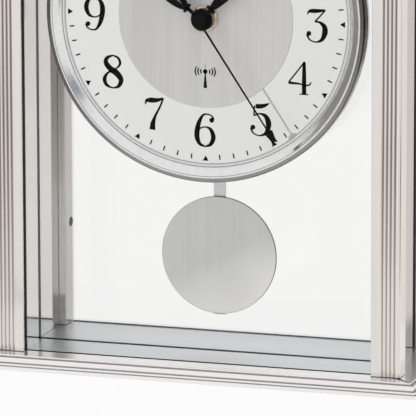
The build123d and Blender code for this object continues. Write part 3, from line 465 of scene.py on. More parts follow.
BEZEL = ((BEZEL_IN, BEZEL_SEAT, SHARP), (BEZEL_IN, -REFLECTOR_H, SHARP), (FACE_IN, -REFLECTOR_H, SHARP),
         (61.1, -1.0, 3.0), (62.1, -1.65, 3.0),  # cone
         (GROOVE_R - 0.15, -2.2, 0.04), (GROOVE_R, -2.05, 0.04), (GROOVE_R + 0.15, -2.3, 0.04),
         (CREST_R, -CREST_H, 0.1), (CREST_R + 0.3, 0.06 - CREST_H, SHARP),
         (RIM_R - 0.4, 0.4 - CREST_H, 0.6), (RIM_R, 1.2 - CREST_H, 0.6), (RIM_R, 3.0, 3.0),
         (RIM_BACK_R, BEZEL_BACK, 0.2), (DIAL_R, BEZEL_BACK, SHARP), (DIAL_R, BEZEL_SEAT, SHARP))
REFLECTOR = ((REFLECTOR_IN, REFLECTOR_SEAT, SHARP), (REFLECTOR_IN, -REFLECTOR_SEAT, 0.08),
             (BEZEL_IN, -REFLECTOR_H, SHARP), (BEZEL_IN, REFLECTOR_SEAT, SHARP))
DIAL = ((BORE_R, 0.0, SHARP), (DIAL_EDGE, 0.0, 0.1), (DIAL_EDGE, DIAL_T, 0.1), (BORE_R, DIAL_T, SHARP))
DISC = ((BORE_R, -DISC_T, SHARP), (DISC_R, -DISC_T, 0.18), (DISC_R, 0.0, SHARP), (BORE_R, 0.0, SHARP))


def ring(name, corners, slot, *stands_for):
    """Turned ring or disc from corners of (radius, depth behind the dial's face, ease)."""
    corners = np.array(corners)
    profile = eased(corners[:, :2], corners[:, 2], RING_STEPS) + [0.0, DIAL_Y]
    return piece(name, turned(profile), "case", slot, *stands_for)


bezel = ring("bezel_turned", BEZEL, "bezel_chrome", "bezel")
reflector = ring("reflector_turned", REFLECTOR, "bezel_chrome", "reflector_ring")
dial = ring("dial_plate_turned", DIAL, "dial_white", "dial_plate")
disc = ring("centre_disc_turned", DISC, "brushed_silver", "dial_centre_disc")
print("dial head:", [thing.name for thing in (bezel, reflector, dial, disc)])

# %% [markdown]
# The chrome would mirror a dark room on its rim, so that dark is put on as a painted reflection, and the
# fine groove inside the crest gets a painted shade line. Thin joints collect dirt. All are stored on the
# points, like the painted shade in the grooves of the rails.

# %% Painted dark rim, painted groove shade and dark joints
RIM_START = 0.05  # outside the crest
RIM_FADE = 0.2
FOOT_LIGHT = 0.25  # share of the painted dark reflection that the rim loses at its foot
FOOT_GROWTH = 1.5
LINE_HALF = 0.08  # half width of the painted shade line in the groove
BEZEL_GROOVE_SHADE = 0.5
JOINT_W = 0.1
JOINT_DARK = 0.95  # at the bezel's inner edge
REFLECTOR_DARK = 0.6  # at the reflector's inner edge


def from_axis(at):
    """Distance of points from the dial axis."""
    return np.hypot(at[:, 0] - AXIS_X, at[:, 2] - AXIS_Z)


def rim_depth(at):
    """Painted reflection of a dark room on the bezel's rim, lighter at its foot, with a painted shade line in
    a fine groove inside the crest and a dark joint at the inner edge. The darkest of the three counts."""
    radius = from_axis(at)
    foot = np.clip(FOOT_GROWTH * (AXIS_Z - at[:, 2]) / radius, 0.0, 1.0)
    rim = np.clip((radius - CREST_R - RIM_START) / RIM_FADE, 0.0, 1.0) * (1.0 - FOOT_LIGHT * foot)
    groove = BEZEL_GROOVE_SHADE * (np.abs(radius - GROOVE_R) < LINE_HALF)
    joint = JOINT_DARK * (radius < BEZEL_IN + JOINT_W)
    return np.maximum.reduce([rim, groove, joint])


# painted reflection on the rim, painted shade in the groove and a dark joint, stored on the points
sink(bezel, rim_depth)
sink(reflector, lambda at: REFLECTOR_DARK * (from_axis(at) < REFLECTOR_IN + JOINT_W))
print("painted shade and joints stored on", bezel.name, "and", reflector.name)

# %% [markdown]
# ## Printed dial
# The numerals are in a style with strong stems, hairlines and ball ends. A font could be used, but the
# numerals are drawn here as strokes: a smooth line through a few points, each with its half width, and a
# ribbon that is as wide as the stroke. Print stands a few hundredths of a millimetre proud.

# %% Strokes
PRINT_H = 0.04
STROKE_STEPS = 12
DOT_STEPS = 24


def smooth_line(points):
    """Curve through points by the cubic that passes each point along the line between its neighbours."""
    p = np.asarray(points, float)
    p = np.vstack([2 * p[0] - p[1], p, 2 * p[-1] - p[-2]])
    a, b, c, d = p[:-3, None], p[1:-2, None], p[2:-1, None], p[3:, None]
    t = np.linspace(0.0, 1.0, STROKE_STEPS, endpoint=False)[None, :, None]
    curve = b + 0.5 * t * (c - a + t * (2 * a - 5 * b + 4 * c - d + t * (3 * (b - c) + d - a)))
    return np.vstack([curve.reshape(-1, p.shape[1]), p[-2]])


def ribbon(line):
    """Flat ribbon along a line of (x, z, half width): two edges, half a width to each side, with a face on
    top and one sunk into the dial."""
    centre, half = line[:, :2], line[:, 2:]
    ahead = np.gradient(centre, axis=0)
    ahead = ahead / np.linalg.norm(ahead, axis=1)[:, None]
    side = np.column_stack([-ahead[:, 1], ahead[:, 0]]) * half
    left, right = centre + side, centre - side
    rows = np.stack([left, right, right, left], axis=1)
    depth = np.broadcast_to(PRINT_H * np.array([-1, -1, 1, 1])[:, None], rows.shape[:2] + (1,))
    return shell(np.concatenate([rows[..., :1], depth, rows[..., 1:]], axis=2), caps=True)


def patch(corners):
    """Straight-sided spot from corners of (x, z), on top of another that is sunk into the dial."""
    x, z = np.asarray(corners, float).T
    rows = [np.column_stack([x, np.full_like(x, depth), z]) for depth in (-PRINT_H, PRINT_H)]
    return shell(np.stack(rows), caps=True)


def dot(x, z, radius):
    """Round spot."""
    turn = np.linspace(0.0, 2 * np.pi, DOT_STEPS, endpoint=False)
    return patch(np.column_stack([x + radius * np.cos(turn), z + radius * np.sin(turn)]))


# %% [markdown]
# Each numeral is written in a square of 1000 units: strokes as (x, z, half width), and ball ends as
# (x, z, radius). The six is the nine turned over.

# %% Numerals
UNIT = 1000
HAIR = 19  # half width of a hairline
BALL = 62

NINE_STROKES = [
    [(0, 985, HAIR), (160, 900, 45), (235, 660, 68), (190, 320, 58), (70, 60, 30), (-60, 15, HAIR),
     (-190, 70, HAIR), (-235, 170, 30)],
    [(0, 985, HAIR), (-150, 910, 45), (-225, 700, 62), (-160, 480, 45), (-20, 400, HAIR), (130, 440, HAIR),
     (210, 550, HAIR)]]
DIGITS = {
    0: ([[(0, 985, HAIR), (-190, 840, 55), (-235, 500, 68), (-190, 160, 55), (0, 15, HAIR), (190, 160, 55),
          (235, 500, 68), (190, 840, 55), (0, 985, HAIR)]], []),
    1: ([[(30, 20, 58), (30, 500, 56), (30, 985, 56)],
         [(40, 960, 35), (-50, 890, 28), (-160, 850, HAIR)],
         [(-130, 16, 16), (190, 16, 16)]], []),
    2: ([[(-225, 760, 30), (-200, 880, HAIR), (-50, 983, HAIR), (120, 930, 50), (190, 750, 66),
          (110, 520, 48), (-80, 270, HAIR), (-250, 40, HAIR)],
         [(-250, 45, 30), (-120, 75, 52), (80, 50, 48), (200, 60, 34), (255, 200, 12)]],
        [(-180, 750, BALL)]),
    3: ([[(-255, 815, 12), (-215, 905, 30), (-120, 925, 52), (60, 935, 45), (235, 965, 20)],
         [(235, 965, 22), (100, 790, HAIR), (-50, 615, 20)],
         [(-50, 610, 20), (80, 600, 30), (205, 480, 62), (225, 300, 72), (140, 90, 45), (-20, 15, HAIR),
          (-190, 75, HAIR), (-270, 230, 30)]], [(-215, 260, BALL)]),
    4: ([[(85, 20, 56), (85, 500, 55), (85, 960, 40)],
         [(100, 985, HAIR), (-110, 680, HAIR), (-335, 370, HAIR)],
         [(-350, 345, 34), (-230, 335, 32), (-60, 325, 24), (100, 290, 16), (220, 300, 22), (285, 390, 12)],
         [(-40, 16, 16), (200, 16, 16)]], []),
    5: ([[(-135, 885, 52), (-20, 885, 60), (120, 920, 45), (250, 990, 8)],
         [(-165, 900, HAIR), (-185, 600, HAIR)],
         [(-185, 600, HAIR), (-30, 665, 20), (140, 600, 52), (225, 380, 74), (160, 110, 48), (-20, 15, HAIR),
          (-200, 80, HAIR), (-265, 230, 30)]], [(-210, 255, BALL)]),
    7: ([[(-265, 760, 14), (-235, 870, 36), (-120, 890, 66), (60, 900, 52), (235, 965, 20)],
         [(235, 965, 24), (150, 720, 24), (10, 420, 34), (-55, 200, 62), (-70, 10, 80)]], []),
    8: ([[(0, 985, HAIR), (-155, 910, 44), (-200, 760, 62), (-70, 580, 77), (100, 460, 82), (225, 270, 66),
          (160, 80, 44), (0, 15, HAIR), (-175, 90, 40), (-240, 260, 52), (-160, 440, 30), (30, 560, HAIR),
          (165, 670, 26), (200, 790, 36), (140, 920, 30), (0, 985, HAIR)]], []),
    9: (NINE_STROKES, [(-180, 190, BALL)]),
}
DIGITS[6] = ([[(-x, UNIT - z, half) for x, z, half in stroke] for stroke in NINE_STROKES],
             [(-x, UNIT - z, r) for x, z, r in DIGITS[9][1]])

NUMERAL_H = 13.5
NUMERAL_R = 45.5
NUMERAL_WIDE = 1.1  # wider and bolder than the squares above
NUMERAL_BOLD = 1.16
NUDGE = {3: (0.02, -0.06), 4: (0.0, 0.06), 6: (-0.01, 0.03), 7: (0.12, 0.0), 8: (0.06, -0.05),
         9: (-0.06, -0.03)}  # sets a figure, as a share of the height
DIGIT_STEP = 0.52  # between the two digits of ten to twelve, as a share of the height


def digit(figure, x, z):
    """Strokes and ball ends of one figure, with the middle of its square at (x, z)."""
    strokes, balls = DIGITS[figure]
    size = NUMERAL_H / UNIT * np.array([NUMERAL_WIDE, 1.0, NUMERAL_BOLD])
    right, up = NUDGE.get(figure, (0.0, 0.0))
    shift = np.array([x + right * NUMERAL_H, z + (up - 0.5) * NUMERAL_H, 0.0])
    ribbons = [ribbon(smooth_line(np.array(stroke) * size + shift)) for stroke in strokes]
    return ribbons + [dot(*(np.array(ball) * size + shift)) for ball in balls]


def numeral(hour):
    """Figures of one hour, upright, on the ring of numerals."""
    turn = math.radians(30 * hour)
    x, z = NUMERAL_R * math.sin(turn), NUMERAL_R * math.cos(turn)
    figures = [int(figure) for figure in str(hour)]
    step = NUMERAL_H * DIGIT_STEP
    starts = [x + step * (k - (len(figures) - 1) / 2) for k in range(len(figures))]
    return [part for figure, at in zip(figures, starts) for part in digit(figure, at, z)]


def printed(name, shells, proud=0.0):
    """Print moved from the dial's own square to its place on the case, as one piece."""
    points, faces = together(shells)
    made = points + np.array([AXIS_X, DIAL_Y - proud, AXIS_Z]), faces
    return piece(name, made, "case", "hand_black")


numerals = printed("dial_numerals", [part for hour in range(1, 13) for part in numeral(hour)])
print("numerals:", len(numerals.data.polygons), "faces")

# %% [markdown]
# The minute track is a ring of short dashes, with a small triangle that points inwards at each hour. On
# the lower part of the centre disc stands a plain sign of a mast with waves, for a clock set by radio.

# %% Minute track and mast sign
TICK_R = 56.0
TICK_L = 2.0
TICK_HALF = 0.27
MARK_R = 56.3
MARK_SIDE = 2.4
MAST_DOT = -21.4  # below the dial axis
MAST_DOT_R = 0.95
MAST_TOP = -18.4
MAST_BASE = -28.0
MAST_HALF = (0.16, 0.75)  # at the dot and at the base
SPIKE_HALF = (0.1, 0.06)  # at the dot and at the top
WAVES = ((1.9, 0.9), (3.1, 1.45), (4.2, 1.9))  # distance from the mast and half height of each arc
WAVE_BEND = 0.3  # as a share of the half height
WAVE_HALF = (0.2, 0.3, 0.2)  # half widths of its stroke


def spun(x, z, degrees):
    """Points turned clockwise about the dial axis."""
    turn = math.radians(degrees)
    return np.column_stack([x * math.cos(turn) + z * math.sin(turn), z * math.cos(turn) - x * math.sin(turn)])


def taper(start, end, half_start, half_end):
    """Corners of a strip up the middle line that goes from one half width to another."""
    return np.array([(-half_start, start), (half_start, start), (half_end, end), (-half_end, end)])


def wave(side, distance, half_height):
    """Arc beside the mast that bends away from it, thickest in the middle."""
    tip = distance - WAVE_BEND * half_height
    rise = np.array([-half_height, 0.0, half_height])
    return np.column_stack([side * np.array([tip, distance, tip]), MAST_DOT + rise, WAVE_HALF])


tick = taper(TICK_R - TICK_L / 2, TICK_R + TICK_L / 2, TICK_HALF, TICK_HALF)
mark_x = MARK_SIDE / 2 * np.array([-1, 0, 1])
mark_z = MARK_R + MARK_SIDE * math.sqrt(3) / 2 * np.array([0.5, -0.5, 0.5])
track = [patch(spun(*tick.T, 6 * minute)) for minute in range(60) if minute % 5]
track += [patch(spun(mark_x, mark_z, 30 * hour)) for hour in range(12)]
track = printed("minute_track", track)
mast = [patch(taper(MAST_DOT, MAST_BASE, *MAST_HALF)), patch(taper(MAST_DOT, MAST_TOP, *SPIKE_HALF)),
        dot(0.0, MAST_DOT, MAST_DOT_R)]
mast += [ribbon(smooth_line(wave(side, *size))) for side in (-1, 1) for size in WAVES]
mast = printed("mast_sign", mast, DISC_T)
print("print:", track.name, mast.name)

# %% [markdown]
# ## Hands
# The hour and minute hands are stamped leaves with a narrow slit and a small cross collar, on a round hub.
# A leaf could be cut by a Boolean. Here it is two half leaves that overlap a little on the middle line,
# and the slit is the gap that they leave. The second hand is a needle with a feathered tip.

# %% Leaf hands
HAND_T = 0.5
HAND_BREAK = 0.06  # broken edges of thin sheet
NECK_HALF = 0.75
NECK_LAP = 0.8  # the neck starts this far inside the hub's edge
COLLAR_HALF = (2.1, 0.65)
COLLAR_EASE = 0.5
MIDDLE_LAP = 0.05  # how far half a leaf goes past the middle line
LAP_SHARE = 0.3  # of the half width, the most that it goes past near the tip
BELLY_POWER = 0.68  # puts the widest place of a leaf near a third of its length
TIP_HALF = 0.06  # a leaf ends a little blunt
LEAF_STEPS = 60
TINY = 1e-9  # what is smaller counts as nothing
# Degrees clockwise from twelve, radii, lengths, a slit's start and end from the collar and its half width,
# and the radius and thickness of a boss behind the hub.
LEAF_HANDS = {
    "hour_hand": {"degrees": 308.0, "length": 34.0, "bore": 2.5, "hub_r": 4.0, "collar_at": 7.4,
                  "widest": 2.9, "slit": (2.5, 17.0, 0.35), "boss": (4.4, 0.7)},
    "minute_hand": {"degrees": 44.0, "length": 50.0, "bore": 1.5, "hub_r": 3.3, "collar_at": 6.4,
                    "widest": 2.2, "slit": (7.0, 26.0, 0.28)}}


def sheet(rim, front, thick, degrees):
    """Flat sheet from a closed outline of (x, z), with broken edges, turned clockwise about the dial axis."""
    ahead = np.roll(rim, -1, axis=0) - np.roll(rim, 1, axis=0)
    out = np.column_stack([ahead[:, 1], -ahead[:, 0]])
    out = out / np.maximum(np.linalg.norm(out, axis=1), TINY)[:, None]
    rows = []
    for depth, draw in ((0.0, 1), (HAND_BREAK, 0), (thick - HAND_BREAK, 0), (thick, 1)):
        x, z = spun(*(rim - draw * HAND_BREAK * out).T, degrees).T
        rows.append(np.column_stack([AXIS_X + x, np.full_like(x, front + depth), AXIS_Z + z]))
    return shell(np.stack(rows), caps=True)


def half_leaf(side, start, end, widest, slit):
    """Outline of half a leaf: the outer edge swells as a sine of the length to a power, and the inner edge
    follows the slit, which opens as the root of a sine."""
    t = np.linspace(0.0, 1.0, LEAF_STEPS)
    along = start + (end - start) * t
    outer = widest * np.sin(np.pi * t ** BELLY_POWER) + NECK_HALF * (1 - t) ** 2 + TIP_HALF * t
    slit_start, slit_end, slit_half = slit
    opening = np.sin(np.pi * np.clip((along - start - slit_start) / (slit_end - slit_start), 0.0, 1.0))
    inner = slit_half * np.sqrt(opening) - np.minimum(MIDDLE_LAP, LAP_SHARE * outer) * (opening < TINY)
    rim = np.vstack([np.column_stack([outer, along]), np.column_stack([inner, along])[::-1]])
    return rim if side > 0 else rim[::-1] * [-1, 1]


def leaf_hand(node, degrees, length, bore, hub_r, collar_at, widest, slit, boss=None):
    """Hub ring, neck, cross collar and two half leaves. The hub may stand on a wider boss behind it."""
    front = span(node)[0][1]
    rear = front + HAND_T
    hub = [(bore, front), (hub_r, front), (hub_r, rear)]
    if boss:
        boss_r, boss_t = boss
        hub += [(boss_r, rear), (boss_r, rear + boss_t)]
        rear += boss_t
    hub += [(bore, rear)]
    across, tall = COLLAR_HALF
    neck = taper(hub_r - NECK_LAP, collar_at + tall / 2, NECK_HALF, NECK_HALF)
    collar = eased(taper(collar_at - tall, collar_at + tall, across, across), COLLAR_EASE)
    leaves = [half_leaf(side, collar_at, length, widest, slit) for side in (-1, 1)]
    parts = [turned(eased(hub, HAND_BREAK))]
    parts += [sheet(rim, front, HAND_T, degrees) for rim in (neck, collar, *leaves)]
    return piece(node + "_stamped", together(parts), node + "_set", "hand_black", node)


hands = [leaf_hand(node, **sizes) for node, sizes in LEAF_HANDS.items()]
print("leaf hands:", [thing.name for thing in hands])

# %% Second hand and nut
SECOND_TURN = 146.3  # degrees clockwise from twelve
NEEDLE_T = 0.3
NEEDLE_TIP = 56.6
NEEDLE_HALF = (0.42, 0.3)  # at the cap and at the feather
NEEDLE_LAP = 1.0  # the needle starts this far inside the cap's edge
NEEDLE_END = 5.0  # and ends this far before the tip
FEATHER = ((0.35, -5.9), (1.8, -5.1), (1.1, -1.7), (1.3, 0.0), (0.0, -0.7))  # right half, from the tip
CAP_R = 2.9
CAP_T = 0.6
CAP_BREAK = 0.2
CAP_SKIN = 0.2  # closes the front of the arbor's hole
ARBOR_R = 0.65
NUT = ((4.06, -0.3, SHARP), (5.6, -0.3, 0.1), (5.6, -1.9, 0.15), (4.9, -2.7, 0.1), (4.06, -2.7, 0.1))


def second_hand(node):
    """Cap on the arbor, needle and feathered tip."""
    front = span(node)[0][1]
    cap = np.array([(0.0, 0.0), (CAP_R - CAP_BREAK, 0.0), (CAP_R, CAP_BREAK), (CAP_R, CAP_T),
                    (ARBOR_R, CAP_T), (ARBOR_R, CAP_SKIN), (0.0, CAP_SKIN)]) + [0.0, front]
    needle = taper(CAP_R - NEEDLE_LAP, NEEDLE_TIP - NEEDLE_END, *NEEDLE_HALF)
    right = np.array(FEATHER) + [0.0, NEEDLE_TIP]
    feather = np.vstack([right, right[-2::-1] * [-1, 1]])
    parts = [turned(cap, closed=False)]
    parts += [sheet(rim, front, NEEDLE_T, SECOND_TURN) for rim in (needle, feather)]
    return piece(node + "_stamped", together(parts), node + "_set", "hand_black", node)


hands.append(second_hand("second_hand"))
nut = ring("fixing_nut_turned", NUT, "brass", "fixing_nut")
print("second hand and nut:", hands[-1].name, nut.name)

# %% [markdown]
# ## Pendulum
# The bob is a thin brushed disc on the front of a flat rod. Both are stamped from sheet, so their edges
# are only broken. The sheared edge of the bob is a ring of its own, whose near-black tone is painted shade.

# %% Bob and rod
EDGE_BAND = 0.12  # how far the sheared edge stands outside the faces
EDGE_LAP = 0.3  # how far it goes into the bob
EDGE_BACK = 0.1  # how far it stays behind the faces
EDGE_EASE = 0.08
HIDDEN_EASE = 0.01
ROD_EASE = 0.15
PAINTED_LIGHT_RISE = 1.2  # painted light: the bob is lighter towards its foot, and to the right
PAINTED_LIGHT_SIDE = 0.5
bob_low, bob_high = span("pendulum_bob")
BOB_R = (bob_high[0] - bob_low[0]) / 2
bob_z = (bob_low[2] + bob_high[2]) / 2
face_r = BOB_R - EDGE_BAND
front, back = bob_low[1], bob_high[1]
faces = eased([(0.0, front), (face_r, front), (face_r, back), (0.0, back)],
              np.array([0.0, EDGE_BAND, EDGE_BAND, 0.0]), RING_STEPS)
bob = piece("pendulum_bob_stamped", turned(faces[1:], bob_z), "pendulum", "brushed_silver", "pendulum_bob")
# painted light over the bob, stored on the points for the finish
sink(bob, lambda at: PAINTED_LIGHT_RISE * (bob_z - at[:, 2] + PAINTED_LIGHT_SIDE * (at[:, 0] - AXIS_X)) / BOB_R)
inner, front, back = face_r - EDGE_LAP, front + EDGE_BACK, back - EDGE_BACK
band = eased([(inner, front), (BOB_R, front), (BOB_R, back), (inner, back)],
             np.array([HIDDEN_EASE, EDGE_EASE, EDGE_EASE, HIDDEN_EASE]))
bob_edge = piece("pendulum_bob_edge", turned(band, bob_z), "pendulum", "rod_metal")
rod = flat_piece("pendulum_rod", "rod_metal", ROD_EASE, "pendulum")
print("pendulum:", bob.name, bob_edge.name, rod.name)

# %% [markdown]
# ## Finishes
# Shader graphs are easier to read as formulas. `Socket` wraps an output of a node, so that plain maths on
# it adds Math nodes, and `Finish.node` makes any other node.

# %% Socket maths


def maths(operation, swapped=False):
    """A method that joins a socket and another value by a Math node."""
    def join(self, other):
        one, two = (other, self) if swapped else (self, other)
        return self.finish.node("Math", {0: one, 1: two}, operation=operation)
    return join


class Socket:
    """An output of a node that can be used in sums and products."""

    def __init__(self, finish, output):
        self.finish = finish
        self.output = output

    __add__ = __radd__ = maths("ADD")
    __sub__ = maths("SUBTRACT")
    __rsub__ = maths("SUBTRACT", swapped=True)
    __mul__ = __rmul__ = maths("MULTIPLY")
    over = maths("GREATER_THAN")
    most = maths("MAXIMUM")
    power = maths("POWER")


class Finish:
    """A node tree of a material or of the world, with one method that adds a node."""

    def __init__(self, owner):
        owner.use_nodes = True
        self.owner = owner
        self.tree = owner.node_tree
        self.tree.nodes.clear()

    def node(self, kind, sockets=None, output=0, **settings):
        """Adds a node, first with its settings, then with the values or links of its sockets."""
        made = self.tree.nodes.new("ShaderNode" + kind)
        for name, value in settings.items():
            setattr(made, name, value)
        for name, value in (sockets or {}).items():
            if isinstance(value, Socket):
                self.tree.links.new(value.output, made.inputs[name])
            else:
                made.inputs[name].default_value = value
        return Socket(self, made.outputs[output]) if len(made.outputs) else made

    def grain(self, stretch, scale, detail=3.0):
        """Noise between 0 and 1 over the piece, stretched by a factor along each axis."""
        place = self.node("TexCoord", output="Object")
        place = self.node("Mapping", {"Vector": place, "Scale": stretch})
        return self.node("TexNoise", {"Vector": place, "Scale": scale, "Detail": detail})

    def between(self, factor, one, two):
        """Colour that goes from one to two with the factor."""
        one, two = (tone if isinstance(tone, Socket) else (*tone, 1.0) for tone in (one, two))
        return self.node("Mix", {0: factor, 6: one, 7: two}, 2, data_type="RGBA")

    def bump(self, height, distance):
        """Normal of a relief whose height goes from 0 to 1 over a distance in metres."""
        return self.node("Bump", {"Height": height, "Distance": distance, "Strength": 1.0})

    def mixed(self, factor, one, two):
        """Shader that goes from one to two with the factor."""
        return self.node("MixShader", {0: factor, 1: one, 2: two})

    def principled(self, **sockets):
        """Principled shader from socket values, named with underscores for spaces."""
        named = {name.replace("_", " "): value for name, value in sockets.items()}
        return self.node("BsdfPrincipled", named)

    def shows(self, shader, output="Material"):
        """Takes a shader as the output and gives back the material or world."""
        self.node("Output" + output, {"Surface": shader})
        return self.owner


def finish(name):
    """An empty material."""
    return Finish(bpy.data.materials.new(name))


def dress(material, *things):
    """Puts a finish on new pieces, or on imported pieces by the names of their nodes."""
    for thing in things:
        if isinstance(thing, str):
            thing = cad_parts[thing]
        if not thing.material_slots:
            thing.data.materials.append(material)
        for slot in thing.material_slots:
            slot.material = material
    print("pieces in", material.name + ":", len(things))


# %% [markdown]
# Drawn and brushed metal share one recipe: noise that is stretched along the direction of the tool gives
# the streaks their tone, their roughness and a very low relief. Only colours, direction and depth change.
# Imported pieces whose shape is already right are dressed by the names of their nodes.

# %% Metals
ALONG = {"x": (0.02, 1.0, 1.0), "y": (1.0, 0.02, 1.0), "z": (1.0, 1.0, 0.02)}
WIDE = 8  # broad streaks are this much wider than the fine lines
LINE_SHARE = 0.6  # of the tone that the fine lines decide, the rest is the broad streaks'
# brown painted shade for the flutes of the columns and the grooves of the rails
BROWN_PAINTED_SHADE = (0.26, 0.215, 0.195)
LOW_RELIEF = 0.000001  # metres


def streaked(name, along, dark, light, rough, scale=900.0, relief=0.000004, painted_light_and_joint_tone=BROWN_PAINTED_SHADE, metal=1.0):
    """Metal with fine lines along one axis: colour, roughness and height follow the stretched noise, and the
    stored share of painted shade, painted light and dark joints moves the colour to another tone."""
    look = finish(name)
    lines = look.grain(ALONG[along], scale)
    wide = look.grain(ALONG[along], scale / WIDE, detail=2.0)
    tone = look.between(LINE_SHARE * lines + (1.0 - LINE_SHARE) * wide, dark, light)
    # share of painted shade, painted light and dark joints that is stored on the points
    painted_light_and_joints = look.node("Attribute", output="Fac", attribute_name="painted_light_and_joints")
    return look.shows(look.principled(Base_Color=look.between(painted_light_and_joints, tone, painted_light_and_joint_tone), Metallic=metal,
                                      Roughness=rough[0] + (rough[1] - rough[0]) * lines,
                                      Normal=look.bump(lines, relief)))


# the columns and the rails take the brown painted shade that is stored in their flutes and grooves
dress(streaked("drawn_aluminium_z", "z", (0.68, 0.64, 0.61), (0.84, 0.80, 0.77), (0.08, 0.2)), *columns)
front_rails = [thing for thing in rails if "front" in thing.name]
side_rails = [thing for thing in rails if "front" not in thing.name]
for axis, some in (("x", front_rails), ("y", side_rails)):
    dress(streaked("rail_aluminium_" + axis, axis, (0.81, 0.795, 0.785), (0.95, 0.94, 0.93), (0.16, 0.3),
                   metal=0.8), *some)
dress(streaked("brushed_top", "x", (0.76, 0.75, 0.74), (0.83, 0.82, 0.81), (0.24, 0.32), scale=1600.0,
               relief=LOW_RELIEF), top_sheet)
dress(streaked("brushed_plate", "x", (0.56, 0.58, 0.595), (0.73, 0.75, 0.765), (0.28, 0.42)), *plates)
dress(streaked("polished_wall", "z", (0.72, 0.71, 0.695), (0.80, 0.79, 0.775), (0.04, 0.1),
               relief=LOW_RELIEF), strips, *walls)
dress(streaked("brushed_disc", "z", (0.585, 0.58, 0.575), (0.895, 0.89, 0.875), (0.55, 0.8)), disc)
# the lighter tone is painted light towards the bob's foot and its right side
dress(streaked("brushed_bob", "z", (0.475, 0.48, 0.465), (0.66, 0.665, 0.645), (0.26, 0.40),
               painted_light_and_joint_tone=(0.80, 0.79, 0.755)), bob)
# near-black tone of the bob's edge: painted shade
dress(streaked("bob_edge_painted_shade", "y", (0.10, 0.10, 0.10), (0.18, 0.18, 0.175), (0.4, 0.55)), bob_edge)
dress(streaked("rod_metal", "z", (0.52, 0.53, 0.53), (0.64, 0.65, 0.65), (0.25, 0.40)), rod)
# the dark tone of the bezel is painted reflection on its rim, painted shade in its groove, and dark joints
dress(streaked("bezel_chrome", "y", (0.66, 0.66, 0.66), (0.86, 0.86, 0.86), (0.14, 0.22), scale=500.0,
               relief=LOW_RELIEF / 2, painted_light_and_joint_tone=(0.13, 0.126, 0.122)), bezel, reflector)
dress(streaked("post_metal", "z", (0.64, 0.63, 0.61), (0.76, 0.745, 0.72), (0.03, 0.08),
               relief=LOW_RELIEF, metal=0.5), posts)
dress(streaked("turned_brass", "y", (0.62, 0.53, 0.42), (0.80, 0.71, 0.59), (0.18, 0.32)), nut, "centre_bush")
dress(streaked("bright_steel", "y", (0.50, 0.50, 0.51), (0.66, 0.66, 0.67), (0.18, 0.35)),
      "column_screws", "door_hinge_shoes", "door_pivot_pins", "door_knob", "battery_contacts",
      "motor_stators", "train_plate")
dress(streaked("wound_copper", "x", (0.45, 0.20, 0.10), (0.72, 0.36, 0.20), (0.25, 0.40), relief=0.00002),
      "motor_coils", "pendulum_drive_coil")

# %% [markdown]
# Paint, plastic and rubber are moulded or sprayed: a faint mottle in the tone and a fine orange peel in
# the surface keep them from looking like one flat colour.

# %% Paints and plastics
EVEN = (1.0, 1.0, 1.0)  # noise that is not stretched
BROAD = 20  # broad mottle is this much wider than the fine one


def mottled(name, dark, light, rough, scale=700.0, relief=0.00001, shine=0.5):
    """Paint or plastic: fine noise moves the tone, the roughness and the height a little."""
    look = finish(name)
    fine = look.grain(EVEN, scale, detail=4.0)
    broad = look.grain(EVEN, scale / BROAD, detail=2.0)
    return look.shows(look.principled(Base_Color=look.between(0.5 * fine + 0.5 * broad, dark, light),
                                      Roughness=rough[0] + (rough[1] - rough[0]) * fine,
                                      Specular_IOR_Level=shine, Normal=look.bump(fine, relief)))


dress(mottled("dial_paint", (0.80, 0.80, 0.785), (0.86, 0.86, 0.845), (0.45, 0.6), relief=0.000004), dial)
dress(mottled("black_paint", (0.003, 0.003, 0.003), (0.008, 0.008, 0.008), (0.4, 0.55), shine=0.03),
      numerals, track, mast, *hands)
dress(mottled("black_plastic", (0.018, 0.018, 0.019), (0.035, 0.035, 0.037), (0.38, 0.55)),
      "movement_case", "movement_cover", "insert_cup", "pendulum_hanger")
dress(mottled("grey_plastic", (0.30, 0.30, 0.31), (0.36, 0.36, 0.37), (0.38, 0.5)), "retaining_ring")
dress(mottled("gear_plastic", (0.70, 0.68, 0.62), (0.80, 0.78, 0.72), (0.35, 0.45)),
      "hour_wheel", "minute_wheel", "motion_wheel", "second_wheel", "minutes_idler", "minutes_rotor",
      "seconds_idler", "seconds_rotor")
dress(mottled("black_rubber", (0.012, 0.012, 0.012), (0.03, 0.03, 0.03), (0.6, 0.8), relief=0.00002),
      seals, joints, sill, studs, "foot_pads", "rubber_washer")
dress(mottled("button_red", (0.50, 0.03, 0.025), (0.62, 0.05, 0.04), (0.3, 0.42)), "reset_button")
dress(mottled("button_white", (0.74, 0.74, 0.72), (0.82, 0.82, 0.80), (0.3, 0.42)), "set_button")
dress(mottled("board_green", (0.02, 0.14, 0.06), (0.03, 0.22, 0.09), (0.3, 0.45)), "circuit_board")
dress(mottled("ferrite", (0.045, 0.045, 0.05), (0.08, 0.08, 0.085), (0.45, 0.6)), "aerial")
dress(mottled("cell_wrap", (0.10, 0.16, 0.30), (0.13, 0.20, 0.36), (0.22, 0.32)), "battery")

# %% [markdown]
# A pane could be a full glass shader, but then lamps would not light what stands behind it. So the faces
# mix a clear shader with a mirror by the Fresnel share, and the ground edges, found by the direction of
# the surface, are dark green.

# %% Glass
STRAIGHT_MIRROR = 0.034  # share of light that glass mirrors when it is seen straight on
CLEAR = (0.995, 0.995, 0.994, 1.0)
WHITE = (1.0, 1.0, 1.0, 1.0)
SMEAR_SCALE = 300.0
FACING = 0.25  # square of a normal's part along an axis, above which it faces that way
GROUND_EDGE = 2.7  # of the dial glass, from its front


